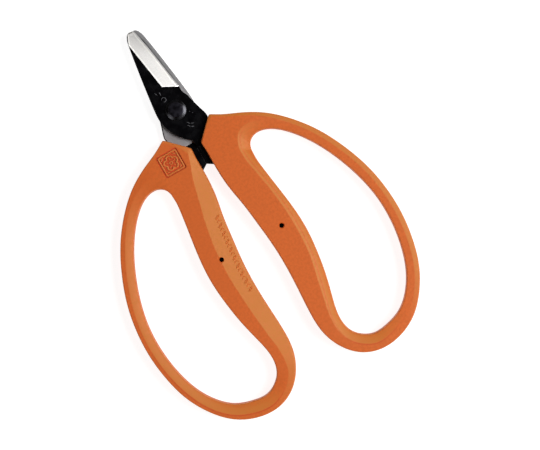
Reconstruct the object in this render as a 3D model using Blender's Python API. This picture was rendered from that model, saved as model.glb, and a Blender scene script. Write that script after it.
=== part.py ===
"""Floral snips: two identical halves on one riveted pivot.

Each half is a cranked steel blade moulded into a one-piece loop handle. The second half is the
first one turned half a turn about the tool's long axis (Y), so every shape is made once, for the
left half, and used twice. X is to the right, +Y points to the blade tips, +Z is up. The pivot
axis is the world Z axis, and the tool lies flat on the plane Z = 0.
"""
import math

import bmesh
import bpy
import numpy as np
from mathutils import Matrix, Vector

MM = 0.001

# Driving dimensions, in millimetres.
HALF_THICKNESS = 5.0          # handle face to the tool's middle plane
STRAND_HALF_THICKNESS = 4.1   # the same, on the slender outer strand of a loop
CLEARANCE = 0.3               # gap between neighbouring pieces
HALF_CLEARANCE = CLEARANCE / 2

BLADE_THICKNESS = 2.2
EDGE_THICKNESS = 0.25         # what the grinding leaves at the cutting edge
TANG_HALF_THICKNESS = BLADE_THICKNESS / 2
CRANK_START = 14.8            # the tang is cranked between these distances below the pivot
CRANK_END = 18.0
CHAMFER_LINE = 19.1           # -x - y on the handle's chamfered top

SHANK_RADIUS = 2.2
HEAD_RADIUS = 3.3
HEAD_EDGE_BREAK = 0.4
HEAD_HEIGHT = 1.25
WASHER_RADIUS = 4.2
WASHER_THICKNESS = 0.8
WASHER_DISH = 0.35
ROUND_STEPS = 48

PIN_HOLE_RADIUS = 1.0
PIN_HOLE_CENTRE = (-14.2, -62.85)

PANEL_CENTRE = (-12.45, -17.95)   # emblem panel on the ridged face
PANEL_HALF_SIDE = 4.85
PANEL_DEPTH = 0.3
PANEL_CORNER = 0.9

FACET_SLOPE = 0.21            # ridged face: fall from the ridge to the rim, on the stem
BEVEL_SLOPE = 0.34            # flat face: fall from the crease to the finger hole, on the stem
STRAND_SLOPE = 0.42           # ridged face: fall from the ridge to the finger hole, on the strand
STEM_EDGE = 0.8               # edge rounding on the stem
STRAND_EDGE = 1.1             # edge rounding on the strand
HANDLE_RINGS = 100            # cross-sections round the loop
OUTLINE_COLUMNS = 4           # rim and finger hole, the first columns of a station

# Cross-sections of the left handle, down the stem, round the bottom, up the strand and over
# the top: rim x, rim y, finger hole x, finger hole y, ridge, crease, strand. Ridge and crease
# are fractions of the width from the hole to the rim; strand is 0 on the stem, 1 on the strand.
HANDLE_STATIONS = (
    (-2.4, -18.0, -18.9, -30.3, 0.90, 0.26, 0.0),
    (-2.6, -26.0, -18.8, -33.0, 0.70, 0.24, 0.0),
    (-3.0, -36.0, -19.1, -37.0, 0.58, 0.20, 0.0),
    (-4.7, -46.5, -20.4, -46.5, 0.52, 0.18, 0.0),
    (-6.1, -57.5, -21.9, -57.5, 0.48, 0.19, 0.0),
    (-7.2, -68.5, -22.5, -68.5, 0.49, 0.22, 0.0),
    (-7.5, -79.5, -21.7, -79.0, 0.49, 0.25, 0.0),
    (-7.1, -90.0, -20.0, -89.5, 0.47, 0.31, 0.05),
    (-6.6, -100.0, -17.7, -99.0, 0.43, 0.34, 0.2),
    (-7.2, -109.5, -16.2, -107.0, 0.46, 0.39, 0.4),
    (-10.6, -118.0, -17.2, -113.8, 0.50, 0.45, 0.7),
    (-16.4, -124.2, -20.6, -118.0, 0.52, 0.50, 0.9),
    (-24.5, -127.3, -25.6, -120.3, 0.55, 0.50, 1.0),
    (-33.5, -126.6, -31.8, -119.8, 0.55, 0.50, 1.0),
    (-42.3, -122.5, -39.0, -117.2, 0.58, 0.50, 1.0),
    (-49.8, -114.8, -45.5, -111.2, 0.60, 0.50, 1.0),
    (-55.1, -105.5, -50.0, -103.6, 0.60, 0.50, 1.0),
    (-58.2, -95.0, -53.0, -94.0, 0.60, 0.50, 1.0),
    (-59.7, -83.5, -54.5, -83.0, 0.60, 0.50, 1.0),
    (-59.4, -72.0, -54.2, -72.0, 0.60, 0.50, 1.0),
    (-57.4, -60.5, -52.1, -61.5, 0.60, 0.50, 1.0),
    (-53.4, -48.8, -48.3, -50.6, 0.60, 0.50, 1.0),
    (-47.2, -36.6, -42.6, -39.4, 0.60, 0.50, 0.95),
    (-39.2, -26.2, -35.4, -30.1, 0.62, 0.50, 0.8),
    (-30.5, -18.5, -28.6, -25.2, 0.70, 0.50, 0.45),
    (-22.0, -13.8, -23.6, -24.5, 0.85, 0.40, 0.0),
    (-14.0, -10.0, -20.7, -25.9, 0.95, 0.30, 0.0),
    (-6.5, -7.2, -19.4, -27.8, 0.97, 0.26, 0.0),
    (-2.6, -10.5, -19.0, -29.2, 0.97, 0.26, 0.0),
)

# Outline of the left half's blade, as smooth runs that meet at corners.
SPINE_RUN = (
    (2.0, 37.1), (2.9, 36.0), (3.9, 32.5), (5.7, 21.0), (7.2, 10.0), (8.1, 2.0), (7.9, -2.0),
    (6.7, -6.0), (4.3, -10.2), (1.2, -13.4), (-HALF_CLEARANCE, -14.1),
)
STOP_RUN = ((-HALF_CLEARANCE, -14.1), (-HALF_CLEARANCE, -25.4))
TAB_RUN = ((-HALF_CLEARANCE, -25.4), (-2.6, -27.1), (-5.6, -29.4), (-7.3, -34.0))
TANG_RUN = (
    (-7.3, -34.0), (-9.0, -46.0), (-10.9, -58.0), (-11.3, -65.0), (-14.2, -68.0), (-17.0, -65.0),
    (-16.8, -58.0), (-15.2, -46.0), (-13.2, -33.0), (-11.4, -20.0), (-10.0, -9.3),
)
SHOULDER_RUN = (
    (-10.0, -9.3), (-10.15, -7.8), (-9.2, -4.2), (-8.3, -1.2), (-7.2, 3.0), (-6.4, 4.7),
)
HEEL_RUN = ((-6.4, 4.7), (-6.0, 6.2), (-5.95, 8.2))
EDGE_RUN = ((-5.95, 8.2), (-4.6, 17.0), (-2.9, 28.0), (-1.0, 36.9))
TIP_RUN = ((-1.0, 36.9), (-0.4, 37.45), (0.9, 37.5), (2.0, 37.1))

GRIND_EDGE = ((-5.95, 8.2), (-1.0, 37.0))     # line of the cutting edge
GRIND_SHOULDER = ((0.2, 11.3), (3.6, 32.5))   # line where the ground bevel meets the flat
GRIND_RUNOUT = ((0.0, 11.0), (-5.8, 8.0))     # lower end of the ground bevel


def clear_scene():
    """Remove every object that the scene starts with."""
    for item in list(bpy.data.objects):
        bpy.data.objects.remove(item, do_unlink=True)


def finish(name, colour, roughness, metallic):
    """Return a plain Principled material."""
    material = bpy.data.materials.new(name)
    material.use_nodes = True
    shader = material.node_tree.nodes["Principled BSDF"]
    shader.inputs["Base Color"].default_value = (*colour, 1.0)
    shader.inputs["Roughness"].default_value = roughness
    shader.inputs["Metallic"].default_value = metallic
    material.diffuse_color = (*colour, 1.0)
    return material


def closed_spline(points, count):
    """Read count rows from a closed cubic spline through the outline, the shape kept linear."""
    rows = np.asarray(points, dtype=float)
    total = len(rows)
    outline = rows[:, :OUTLINE_COLUMNS]
    step = np.linalg.norm(np.roll(outline, -1, axis=0) - outline, axis=1)
    before = np.roll(step, 1)
    slope = (np.roll(rows, -1, axis=0) - rows) / step[:, None]
    system = np.zeros((total, total))
    index = np.arange(total)
    system[index, (index - 1) % total] = before
    system[index, index] = 2 * (before + step)
    system[index, (index + 1) % total] = step
    bend = np.linalg.solve(system, 6 * (slope - np.roll(slope, 1, axis=0)))
    bend[:, OUTLINE_COLUMNS:] = 0.0
    knots = np.concatenate(([0.0], np.cumsum(step)))
    along = np.linspace(0.0, knots[-1], count, endpoint=False)
    span = np.clip(np.searchsorted(knots, along, side="right") - 1, 0, total - 1)
    after = (span + 1) % total
    length = step[span][:, None]
    part = ((along - knots[span])[:, None]) / length
    rest = 1 - part
    curve = (rest ** 3 - rest) * bend[span] + (part ** 3 - part) * bend[after]
    return rest * rows[span] + part * rows[after] + curve * length ** 2 / 6


def smooth_run(points, steps):
    """Return a curve through the points, its last point left out for the next run."""
    if len(points) == 2:
        return [Vector(points[0])]
    knots = [Vector(point) for point in points]
    knots = [2 * knots[0] - knots[1], *knots, 2 * knots[-1] - knots[-2]]
    curve = []
    for first, start, end, last in zip(knots, knots[1:], knots[2:], knots[3:]):
        for step in range(steps):
            part = step / steps
            lead = (end - first) / 2
            trail = (last - start) / 2
            curve.append(
                (2 * part ** 3 - 3 * part ** 2 + 1) * start
                + (part ** 3 - 2 * part ** 2 + part) * lead
                + (3 * part ** 2 - 2 * part ** 3) * end
                + (part ** 3 - part ** 2) * trail
            )
    return curve


def offset_outline(outline, distance):
    """Move every corner of a counter-clockwise outline outwards by the same distance."""
    moved = []
    for before, here, after in zip(outline[-1:] + outline[:-1], outline, outline[1:] + outline[:1]):
        into = (here - before).normalized()
        out = (after - here).normalized()
        first = Vector((into.y, -into.x))
        second = Vector((out.y, -out.x))
        mitre = (first + second).normalized()
        moved.append(here + mitre * distance / max(mitre.dot(first), 0.5))
    return moved


def plate(outline, low, high):
    """Return a bmesh plate with the outline in plan, from height low to height high."""
    mesh = bmesh.new()
    corners = [mesh.verts.new((point.x * MM, point.y * MM, low * MM)) for point in outline]
    face = mesh.faces.new(corners)
    raised = bmesh.ops.extrude_face_region(mesh, geom=[face])["geom"]
    lift = [item for item in raised if isinstance(item, bmesh.types.BMVert)]
    bmesh.ops.translate(mesh, verts=lift, vec=(0.0, 0.0, (high - low) * MM))
    bmesh.ops.recalc_face_normals(mesh, faces=mesh.faces)
    return mesh


def as_mesh(mesh, name):
    """Turn a bmesh into mesh data."""
    data = bpy.data.meshes.new(name)
    mesh.to_mesh(data)
    mesh.free()
    return data


def place(name, data, parent=None):
    """Link an object that carries the mesh data, under its parent."""
    item = bpy.data.objects.new(name, data)
    bpy.context.scene.collection.objects.link(item)
    item.parent = parent
    return item


def cutter(name, mesh, parent):
    """Link a bmesh as a wire object that only cuts others."""
    item = place(name, as_mesh(mesh, name), parent)
    item.hide_render = True
    item.display_type = "WIRE"
    return item


def cut(item, tool):
    """Cut the item with a cutter."""
    modifier = item.modifiers.new(tool.name, "BOOLEAN")
    modifier.operation = "DIFFERENCE"
    modifier.object = tool
    modifier.solver = "EXACT"


def round_bar(radius, low, high, centre=(0.0, 0.0), steps=ROUND_STEPS):
    """Return an upright round bar."""
    mesh = bmesh.new()
    middle = Vector((centre[0], centre[1], (low + high) / 2)) * MM
    bmesh.ops.create_cone(
        mesh, cap_ends=True, segments=steps, radius1=radius * MM, radius2=radius * MM,
        depth=(high - low) * MM, matrix=Matrix.Translation(middle),
    )
    return mesh


def turned(profile, closed):
    """Spin a (radius, height) profile round the pivot axis into a closed turned piece."""
    mesh = bmesh.new()
    corners = [mesh.verts.new((radius * MM, 0.0, height * MM)) for radius, height in profile]
    edges = [mesh.edges.new(pair) for pair in zip(corners, corners[1:])]
    if closed:
        edges.append(mesh.edges.new((corners[-1], corners[0])))
    bmesh.ops.spin(
        mesh, geom=corners + edges, cent=(0.0, 0.0, 0.0), axis=(0.0, 0.0, 1.0),
        angle=math.tau, steps=ROUND_STEPS,
    )
    bmesh.ops.remove_doubles(mesh, verts=mesh.verts, dist=1e-6)
    bmesh.ops.recalc_face_normals(mesh, faces=mesh.faces)
    return mesh


def blade_outline():
    """Return the whole outline of the left half's blade and tang, counter-clockwise."""
    runs = (
        (TIP_RUN, 3), (SPINE_RUN, 4), (STOP_RUN, 1), (TAB_RUN, 2), (TANG_RUN, 3),
        (SHOULDER_RUN, 3), (HEEL_RUN, 3), (EDGE_RUN, 3),
    )
    outline = [point for run, steps in runs for point in smooth_run(run, steps)]
    outline.reverse()
    return outline


def tang_outline():
    """Return the outline of the blade from its shoulder down: tab and tang."""
    runs = ((STOP_RUN, 1), (TAB_RUN, 2), (TANG_RUN, 3), (SHOULDER_RUN[:3], 1))
    outline = [point for run, steps in runs for point in smooth_run(run, steps)]
    outline.reverse()
    return outline


def crank(mesh):
    """Bend the plate between the two crank lines, up to the tool's middle plane."""
    for level in (CRANK_START, CRANK_END):
        bmesh.ops.bisect_plane(
            mesh, geom=[*mesh.verts, *mesh.edges, *mesh.faces], dist=1e-7,
            plane_co=(0.0, -level * MM, 0.0), plane_no=(0.0, -1.0, 0.0),
        )
    rise = (HALF_CLEARANCE + TANG_HALF_THICKNESS) * MM
    for corner in mesh.verts:
        part = (-corner.co.y / MM - CRANK_START) / (CRANK_END - CRANK_START)
        corner.co.z += rise * min(max(part, 0.0), 1.0)


def grind_cutter(parent):
    """Make the wedge that grinds the bevel along the cutting edge, on the blade's outer side."""
    start, end = (Vector((*point, 0.0)) for point in GRIND_EDGE)
    crest = Vector((*GRIND_SHOULDER[0], 0.0))
    along = (end - start).normalized()
    across = (crest - start) - (crest - start).dot(along) * along
    width = across.length
    across.normalize()
    outside = -(HALF_CLEARANCE + BLADE_THICKNESS)
    rise = BLADE_THICKNESS - EDGE_THICKNESS
    edge_level = outside + rise
    overrun = 4.0
    reach = 1.0
    runout = (Vector((*GRIND_RUNOUT[1], 0.0)) - Vector((*GRIND_RUNOUT[0], 0.0))).normalized()
    far = (end - start).length + reach
    mesh = bmesh.new()
    section = (
        (-overrun, edge_level + overrun * rise / width),
        (width + overrun, edge_level - (width + overrun) * rise / width),
        (-overrun, outside - overrun),
    )
    corners = []
    for side, level in section:
        foot = start + across * side
        slip = (Vector((*GRIND_RUNOUT[0], 0.0)) - foot)
        skew = along.x * runout.y - along.y * runout.x
        near = (slip.x * runout.y - slip.y * runout.x) / skew
        for distance in (near, far):
            point = foot + along * distance
            corners.append(mesh.verts.new((point.x * MM, point.y * MM, level * MM)))
    for picks in ((0, 2, 4), (1, 5, 3), (0, 1, 3, 2), (2, 3, 5, 4), (4, 5, 1, 0)):
        mesh.faces.new([corners[pick] for pick in picks])
    bmesh.ops.recalc_face_normals(mesh, faces=mesh.faces)
    return cutter("grind_cutter", mesh, parent)


def blade_data():
    """Make the left half's blade: a flat plate below the middle plane, with a cranked tang."""
    low = -(HALF_CLEARANCE + BLADE_THICKNESS)
    mesh = plate(blade_outline(), low, -HALF_CLEARANCE)
    crank(mesh)
    return as_mesh(mesh, "blade")


def section_points(station):
    """Return the ten corners of one handle cross-section, in millimetres."""
    rim = station[0:2]
    hole = station[2:4]
    ridge, crease, strand = station[4:7]
    strand = min(max(strand, 0.0), 1.0)
    width = float(np.linalg.norm(rim - hole))
    half = HALF_THICKNESS + (STRAND_HALF_THICKNESS - HALF_THICKNESS) * strand
    edge = STEM_EDGE + (STRAND_EDGE - STEM_EDGE) * strand
    lip = edge / width
    front_rim = half - (1 - ridge) * width * FACET_SLOPE * (1 - strand)
    front_hole = half - ridge * width * STRAND_SLOPE * strand
    back_hole = half - crease * width * BEVEL_SLOPE * (1 - strand)
    profile = (
        (0.0, front_hole - edge), (lip, front_hole), (min(ridge, 1 - 1.5 * lip), half),
        (1 - lip, front_rim), (1.0, front_rim - edge), (1.0, edge - half),
        (1 - lip, -half), (crease, -half), (lip, -back_hole), (0.0, edge - back_hole),
    )
    return [(*(hole + (rim - hole) * part), level) for part, level in profile]


def handle_data():
    """Make the left handle as a ring of cross-sections round the finger hole."""
    mesh = bmesh.new()
    rings = []
    for station in closed_spline(HANDLE_STATIONS, HANDLE_RINGS):
        points = section_points(station)
        rings.append([mesh.verts.new((x * MM, y * MM, z * MM)) for x, y, z in points])
    for ring, following in zip(rings, rings[1:] + rings[:1]):
        for index in range(len(ring)):
            after = (index + 1) % len(ring)
            mesh.faces.new((ring[index], ring[after], following[after], following[index]))
    bmesh.ops.recalc_face_normals(mesh, faces=mesh.faces)
    return as_mesh(mesh, "handle")


def chamfer_cutter(parent):
    """Make the block that cuts the handle's top off along the chamfer line."""
    mesh = bmesh.new()
    size = 40.0
    lift = (size - CHAMFER_LINE * math.sqrt(0.5)) * Vector((1.0, 1.0, 0.0)).normalized()
    spin = Matrix.Rotation(math.radians(45.0), 4, "Z")
    bmesh.ops.create_cube(mesh, size=2 * size * MM, matrix=Matrix.Translation(lift * MM) @ spin)
    return cutter("chamfer_cutter", mesh, parent)


def pocket_cutter(parent):
    """Make the cranked slot that holds the tang, open at the handle's top and flank."""
    low = -(HALF_CLEARANCE + BLADE_THICKNESS + CLEARANCE)
    mesh = plate(offset_outline(tang_outline(), CLEARANCE), low, CLEARANCE - HALF_CLEARANCE)
    crank(mesh)
    return cutter("pocket_cutter", mesh, parent)


def panel_cutter(parent):
    """Make the shallow square recess of the emblem panel."""
    side = PANEL_HALF_SIDE
    turn = PANEL_CORNER
    outline = []
    for quarter in range(4):
        for step in range(4):
            angle = math.radians(90 * quarter + 30 * step)
            middle = Vector((side - turn, side - turn))
            middle.rotate(Matrix.Rotation(math.radians(90 * quarter), 2))
            arm = Vector((math.cos(angle), math.sin(angle))) * turn
            outline.append(Vector(PANEL_CENTRE) + middle + arm)
    mesh = plate(outline, HALF_THICKNESS - PANEL_DEPTH, HALF_THICKNESS + 1.0)
    return cutter("panel_cutter", mesh, parent)


def rivet_data():
    """Make the pivot rivet: a shank with a head on each face, edges broken."""
    top = HALF_THICKNESS
    under = top - HEAD_HEIGHT
    flat = HEAD_RADIUS - HEAD_EDGE_BREAK
    half = (
        (SHANK_RADIUS, under), (HEAD_RADIUS, under),
        (HEAD_RADIUS, top - HEAD_EDGE_BREAK), (flat, top), (0.0, top),
    )
    lower = [(radius, -height) for radius, height in reversed(half)]
    data = as_mesh(turned([*lower, *half], closed=False), "rivet")
    data.shade_smooth()
    data.set_sharp_from_angle(angle=math.radians(30.0))
    return data


def washer_data():
    """Make a dished washer that fits under the rivet's front head."""
    inner = SHANK_RADIUS + CLEARANCE
    low = HALF_CLEARANCE + BLADE_THICKNESS + CLEARANCE
    high = low + WASHER_THICKNESS
    profile = (
        (inner, low), (WASHER_RADIUS, low), (WASHER_RADIUS, high - WASHER_DISH),
        (WASHER_RADIUS - WASHER_DISH, high), (inner, high),
    )
    data = as_mesh(turned(profile, closed=True), "washer")
    data.shade_smooth()
    data.set_sharp_from_angle(angle=math.radians(30.0))
    return data


def dress(item, material):
    """Give an object its material."""
    if not item.data.materials:
        item.data.materials.append(material)
    return item


def build_half(names, blade, handle, tools, parent):
    """Place one blade and one handle under the half's empty, with their cuts."""
    blade_item = place(names[0], blade, parent)
    handle_item = place(names[1], handle, parent)
    for tool in tools["blade"]:
        cut(blade_item, tool)
    for tool in tools["handle"]:
        cut(handle_item, tool)
    return blade_item, handle_item


def half_tools(parent):
    """Make the cutters of one half."""
    reach = HALF_THICKNESS + 1.0
    pivot_hole = round_bar(SHANK_RADIUS + CLEARANCE, -reach, reach)
    pin_hole = round_bar(PIN_HOLE_RADIUS, -reach, reach, PIN_HOLE_CENTRE, steps=16)
    return {
        "blade": (cutter("pivot_hole_cutter", pivot_hole, parent), grind_cutter(parent)),
        "handle": (
            chamfer_cutter(parent), pocket_cutter(parent),
            cutter("pin_hole_cutter", pin_hole, parent), panel_cutter(parent),
        ),
    }


def half_empty(name, turned_over):
    """Link the empty on the pivot axis that carries one half."""
    empty = place(name, None)
    empty.location = (0.0, 0.0, HALF_THICKNESS * MM)
    if turned_over:
        empty.rotation_euler = (0.0, math.pi, 0.0)
    return empty


def main():
    """Build the snips, closed, lying on the plane Z = 0."""
    clear_scene()
    orange = finish("orange_plastic", (0.597, 0.130, 0.030), 0.45, 0.0)
    black = finish("black_steel", (0.012, 0.012, 0.015), 0.35, 0.6)
    steel = finish("dark_steel", (0.045, 0.048, 0.055), 0.4, 0.8)

    left = half_empty("left_half", turned_over=False)
    right = half_empty("right_half", turned_over=True)
    blade = blade_data()
    handle = handle_data()
    rear_blade, left_handle = build_half(
        ("rear_blade", "left_handle"), blade, handle, half_tools(left), left)
    front_blade, right_handle = build_half(
        ("front_blade", "right_handle"), blade, handle, half_tools(right), right)
    for item in (rear_blade, front_blade):
        dress(item, black)
    for item in (left_handle, right_handle):
        dress(item, orange)

    dress(place("pivot_rivet", rivet_data(), left), steel)
    washer = washer_data()
    dress(place("front_washer", washer, left), steel)
    rear_washer = dress(place("rear_washer", washer, left), steel)
    rear_washer.rotation_euler = (0.0, math.pi, 0.0)


main()
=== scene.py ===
"""Finished model of the floral snips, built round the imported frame.

The tool is two identical halves on one rivet: the right half is the left half turned half a turn
about the tool's long axis. Every shape is therefore worked out once, in the left half's own frame
(millimetres, X right, Y to the blade tips, Z up from the tool's middle plane), and placed twice.
"""

import logging
import math
from dataclasses import dataclass
from enum import Enum

import bpy
import numpy as np
from mathutils import Euler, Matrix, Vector


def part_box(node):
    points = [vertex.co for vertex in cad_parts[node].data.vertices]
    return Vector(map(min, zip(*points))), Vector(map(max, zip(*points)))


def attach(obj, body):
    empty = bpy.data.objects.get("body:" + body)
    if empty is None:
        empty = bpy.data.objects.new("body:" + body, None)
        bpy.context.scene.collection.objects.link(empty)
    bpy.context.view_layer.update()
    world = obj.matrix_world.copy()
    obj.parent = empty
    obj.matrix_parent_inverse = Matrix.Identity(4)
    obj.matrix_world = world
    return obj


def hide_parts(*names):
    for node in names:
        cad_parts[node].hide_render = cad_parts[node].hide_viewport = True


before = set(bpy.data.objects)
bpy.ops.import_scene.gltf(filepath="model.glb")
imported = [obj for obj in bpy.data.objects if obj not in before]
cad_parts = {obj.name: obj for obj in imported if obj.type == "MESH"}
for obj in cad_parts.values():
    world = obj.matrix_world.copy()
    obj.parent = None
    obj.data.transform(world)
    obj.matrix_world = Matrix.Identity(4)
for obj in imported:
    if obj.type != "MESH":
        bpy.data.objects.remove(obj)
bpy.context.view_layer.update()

LOG = logging.getLogger("floral_snips")
MM = 0.001
MERGE_DISTANCE = 1e-8

Array = np.ndarray
Keys = tuple[tuple[float, float], ...]
Colour = tuple[float, float, float]


class Half(Enum):
    """The two halves of the tool, named by the side of their handle."""

    LEFT = "left"
    RIGHT = "right"

    @property
    def body(self) -> str:
        """Return the name of the frame body that this half rides on."""
        return f"{self.value}_half"

    @property
    def blade(self) -> str:
        """Return which blade this half carries."""
        return "rear" if self is Half.LEFT else "front"


def middle_height() -> float:
    """Return the height of the tool's middle plane in metres: half the height of the rivet."""
    low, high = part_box("pivot_rivet")
    return (low[2] + high[2]) / 2


@dataclass(frozen=True)
class Bead:
    """A low raised line: half its width, and its height at the middle, in millimetres."""

    half_width: float
    height: float
    foot: float = 0.12

    def carry(self, path: Array, closed: bool) -> tuple[Array, Array]:
        """Carry the half-round section along a path in a plane.

        At each point of the path the section is a half ellipse across the path's direction; an
        open path tapers to a point at both ends.

        Args:
            path: rows of u and v.
            closed: whether the path's last point joins its first.

        Returns:
            Points (u, v, height above the plane) and quads.
        """
        if closed:
            ahead = np.roll(path, -1, axis=0) - np.roll(path, 1, axis=0)
            taper = np.ones(len(path))
        else:
            ahead = np.gradient(path, axis=0)
            taper = np.sqrt(np.clip(1 - np.linspace(-1, 1, len(path)) ** 6, 0.0, 1.0))
        ahead = ahead / np.linalg.norm(ahead, axis=1, keepdims=True)
        side = np.stack([ahead[:, 1], -ahead[:, 0]], axis=1)
        angle = np.linspace(0, np.pi, 9)
        out = np.append(self.half_width * np.cos(angle), 0.0)[None, :] * taper[:, None]
        up = np.append(self.height * np.sin(angle), -self.foot)[None, :] * taper[:, None]
        plan = path[:, None] + side[:, None] * out[..., None]
        points = np.concatenate([plan, up[..., None]], axis=-1)
        quads = grid_quads(len(path), out.shape[1], closed, True)
        return points.reshape(-1, 3), quads


def gather(parts: list[tuple[Array, Array]]) -> tuple[Array, Array]:
    """Join several point and quad tables into one of each.

    Args:
        parts: pairs of points and quads.

    Returns:
        All points and all quads.
    """
    offset = np.cumsum([0] + [len(points) for points, _ in parts[:-1]])
    points = np.vstack([points for points, _ in parts])
    return points, np.vstack([quads + start for (_, quads), start in zip(parts, offset)])


def place_half(points: Array, half: Half) -> Array:
    """Put points of the left half's frame into the world.

    The right half is the left one turned half a turn about Y: x and z change sign. Then
    millimetres become metres, and the middle plane is lifted to its height in the frame.

    Args:
        points: rows of x, y, z in millimetres.
        half: the half that the points belong to.

    Returns:
        The same rows in metres, in the world.
    """
    turn = np.array([1.0, 1.0, 1.0] if half is Half.LEFT else [-1.0, 1.0, -1.0])
    placed = points * turn * MM
    placed[..., 2] += middle_height()
    return placed


@dataclass
class LoopSpline:
    """A closed cubic spline through rows of points, with its knots spaced by chord length.

    The second derivatives follow from asking that slope and bend are equal on both sides of
    every knot.
    """

    points: Array

    def __post_init__(self) -> None:
        """Solve for the second derivatives at the knots."""
        ahead = np.roll(self.points, -1, axis=0) - self.points
        step = np.linalg.norm(ahead, axis=1)
        before = np.roll(step, 1)
        slope = ahead / step[:, None]
        total = len(step)
        index = np.arange(total)
        system = np.zeros((total, total))
        system[index, (index - 1) % total] = before
        system[index, index] = 2 * (before + step)
        system[index, (index + 1) % total] = step
        self.bend = np.linalg.solve(system, 6 * (slope - np.roll(slope, 1, axis=0)))
        self.step = step

    def read(self, station: Array) -> Array:
        """Read the spline at fractional station numbers.

        Args:
            station: where to read, in station numbers.

        Returns:
            One row for each station number.
        """
        span = np.floor(station).astype(int) % len(self.points)
        after = (span + 1) % len(self.points)
        part = (station - np.floor(station))[:, None]
        rest = 1 - part
        curve = (rest**3 - rest) * self.bend[span] + (part**3 - part) * self.bend[after]
        straight = rest * self.points[span] + part * self.points[after]
        return straight + curve * self.step[span][:, None] ** 2 / 6


def smooth_run(points: tuple[tuple[float, float], ...], steps: int = 24) -> Array:
    """Return a smooth open curve through a few points (Catmull-Rom).

    Args:
        points: the points that the curve passes through.
        steps: samples for each span.

    Returns:
        Rows of x and y, both ends included.
    """
    knots = np.array(points, dtype=float)
    if len(knots) == 2:
        return knots[0] + np.linspace(0, 1, steps)[:, None] * (knots[1] - knots[0])
    padded = np.vstack([2 * knots[0] - knots[1], knots, 2 * knots[-1] - knots[-2]])
    first, start, end, last = padded[:-3], padded[1:-2], padded[2:-1], padded[3:]
    part = np.linspace(0, 1, steps, endpoint=False)[None, :, None]
    curve = (
        (2 * part**3 - 3 * part**2 + 1) * start[:, None]
        + (part**3 - 2 * part**2 + part) * (end - first)[:, None] / 2
        + (3 * part**2 - 2 * part**3) * end[:, None]
        + (part**3 - part**2) * (last - start)[:, None] / 2
    )
    return np.vstack([curve.reshape(-1, 2), knots[-1]])


def ramp(distance: Array, fillet: Array | float) -> Array:
    """Return a ramp that is 0 before 0 and rises by 1 for 1 after it, with a rounded foot.

    Inside the fillet the ramp is the parabola that joins both straight parts.

    Args:
        distance: distance past the foot.
        fillet: half the width of the rounded foot.

    Returns:
        The ramp's height.
    """
    inside = (distance + fillet) ** 2 / (4 * fillet)
    return np.where(distance <= -fillet, 0.0, np.where(distance >= fillet, distance, inside))


def smooth_step(value: Array) -> Array:
    """Return 0 below 0, 1 above 1, and the cubic 3v^2 - 2v^3 between."""
    inside = np.clip(value, 0, 1)
    return inside * inside * (3 - 2 * inside)


def ease(values: Array, width: int) -> Array:
    """Smooth a closed series with a raised-cosine window.

    Args:
        values: one value for each sample round the loop.
        width: window length in samples.

    Returns:
        The eased series, as long as the first one.
    """
    window = 1 - np.cos(2 * np.pi * (np.arange(width) + 0.5) / width)
    window /= window.sum()
    wrapped = np.concatenate([values[-width:], values, values[:width]])
    return np.convolve(wrapped, window, mode="same")[width:-width]


def grid_quads(rows: int, columns: int, wrap_rows: bool, wrap_columns: bool) -> Array:
    """Return the quads of a grid of points, row by row.

    Args:
        rows: number of rows.
        columns: number of points in a row.
        wrap_rows: whether the last row joins the first.
        wrap_columns: whether the last point of a row joins its first.

    Returns:
        Rows of four point numbers.
    """
    row = np.arange(rows if wrap_rows else rows - 1)[:, None]
    column = np.arange(columns if wrap_columns else columns - 1)[None, :]
    next_row = (row + 1) % rows
    next_column = (column + 1) % columns
    corners = (
        row * columns + column,
        row * columns + next_column,
        next_row * columns + next_column,
        next_row * columns + column,
    )
    return np.stack(np.broadcast_arrays(*corners), axis=-1).reshape(-1, 4)


def store_values(mesh: bpy.types.Mesh, name: str, values: Array) -> None:
    """Store each point's value on its face corners, which stays true where the mesh is cut.

    Args:
        mesh: the mesh.
        name: the attribute's name.
        values: one value for each point.
    """
    corner = np.empty(len(mesh.loops), dtype=np.int32)
    mesh.loops.foreach_get("vertex_index", corner)
    layer = mesh.attributes.new(name, "FLOAT", "CORNER")
    layer.data.foreach_set("value", values[corner].astype(np.float32))


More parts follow.
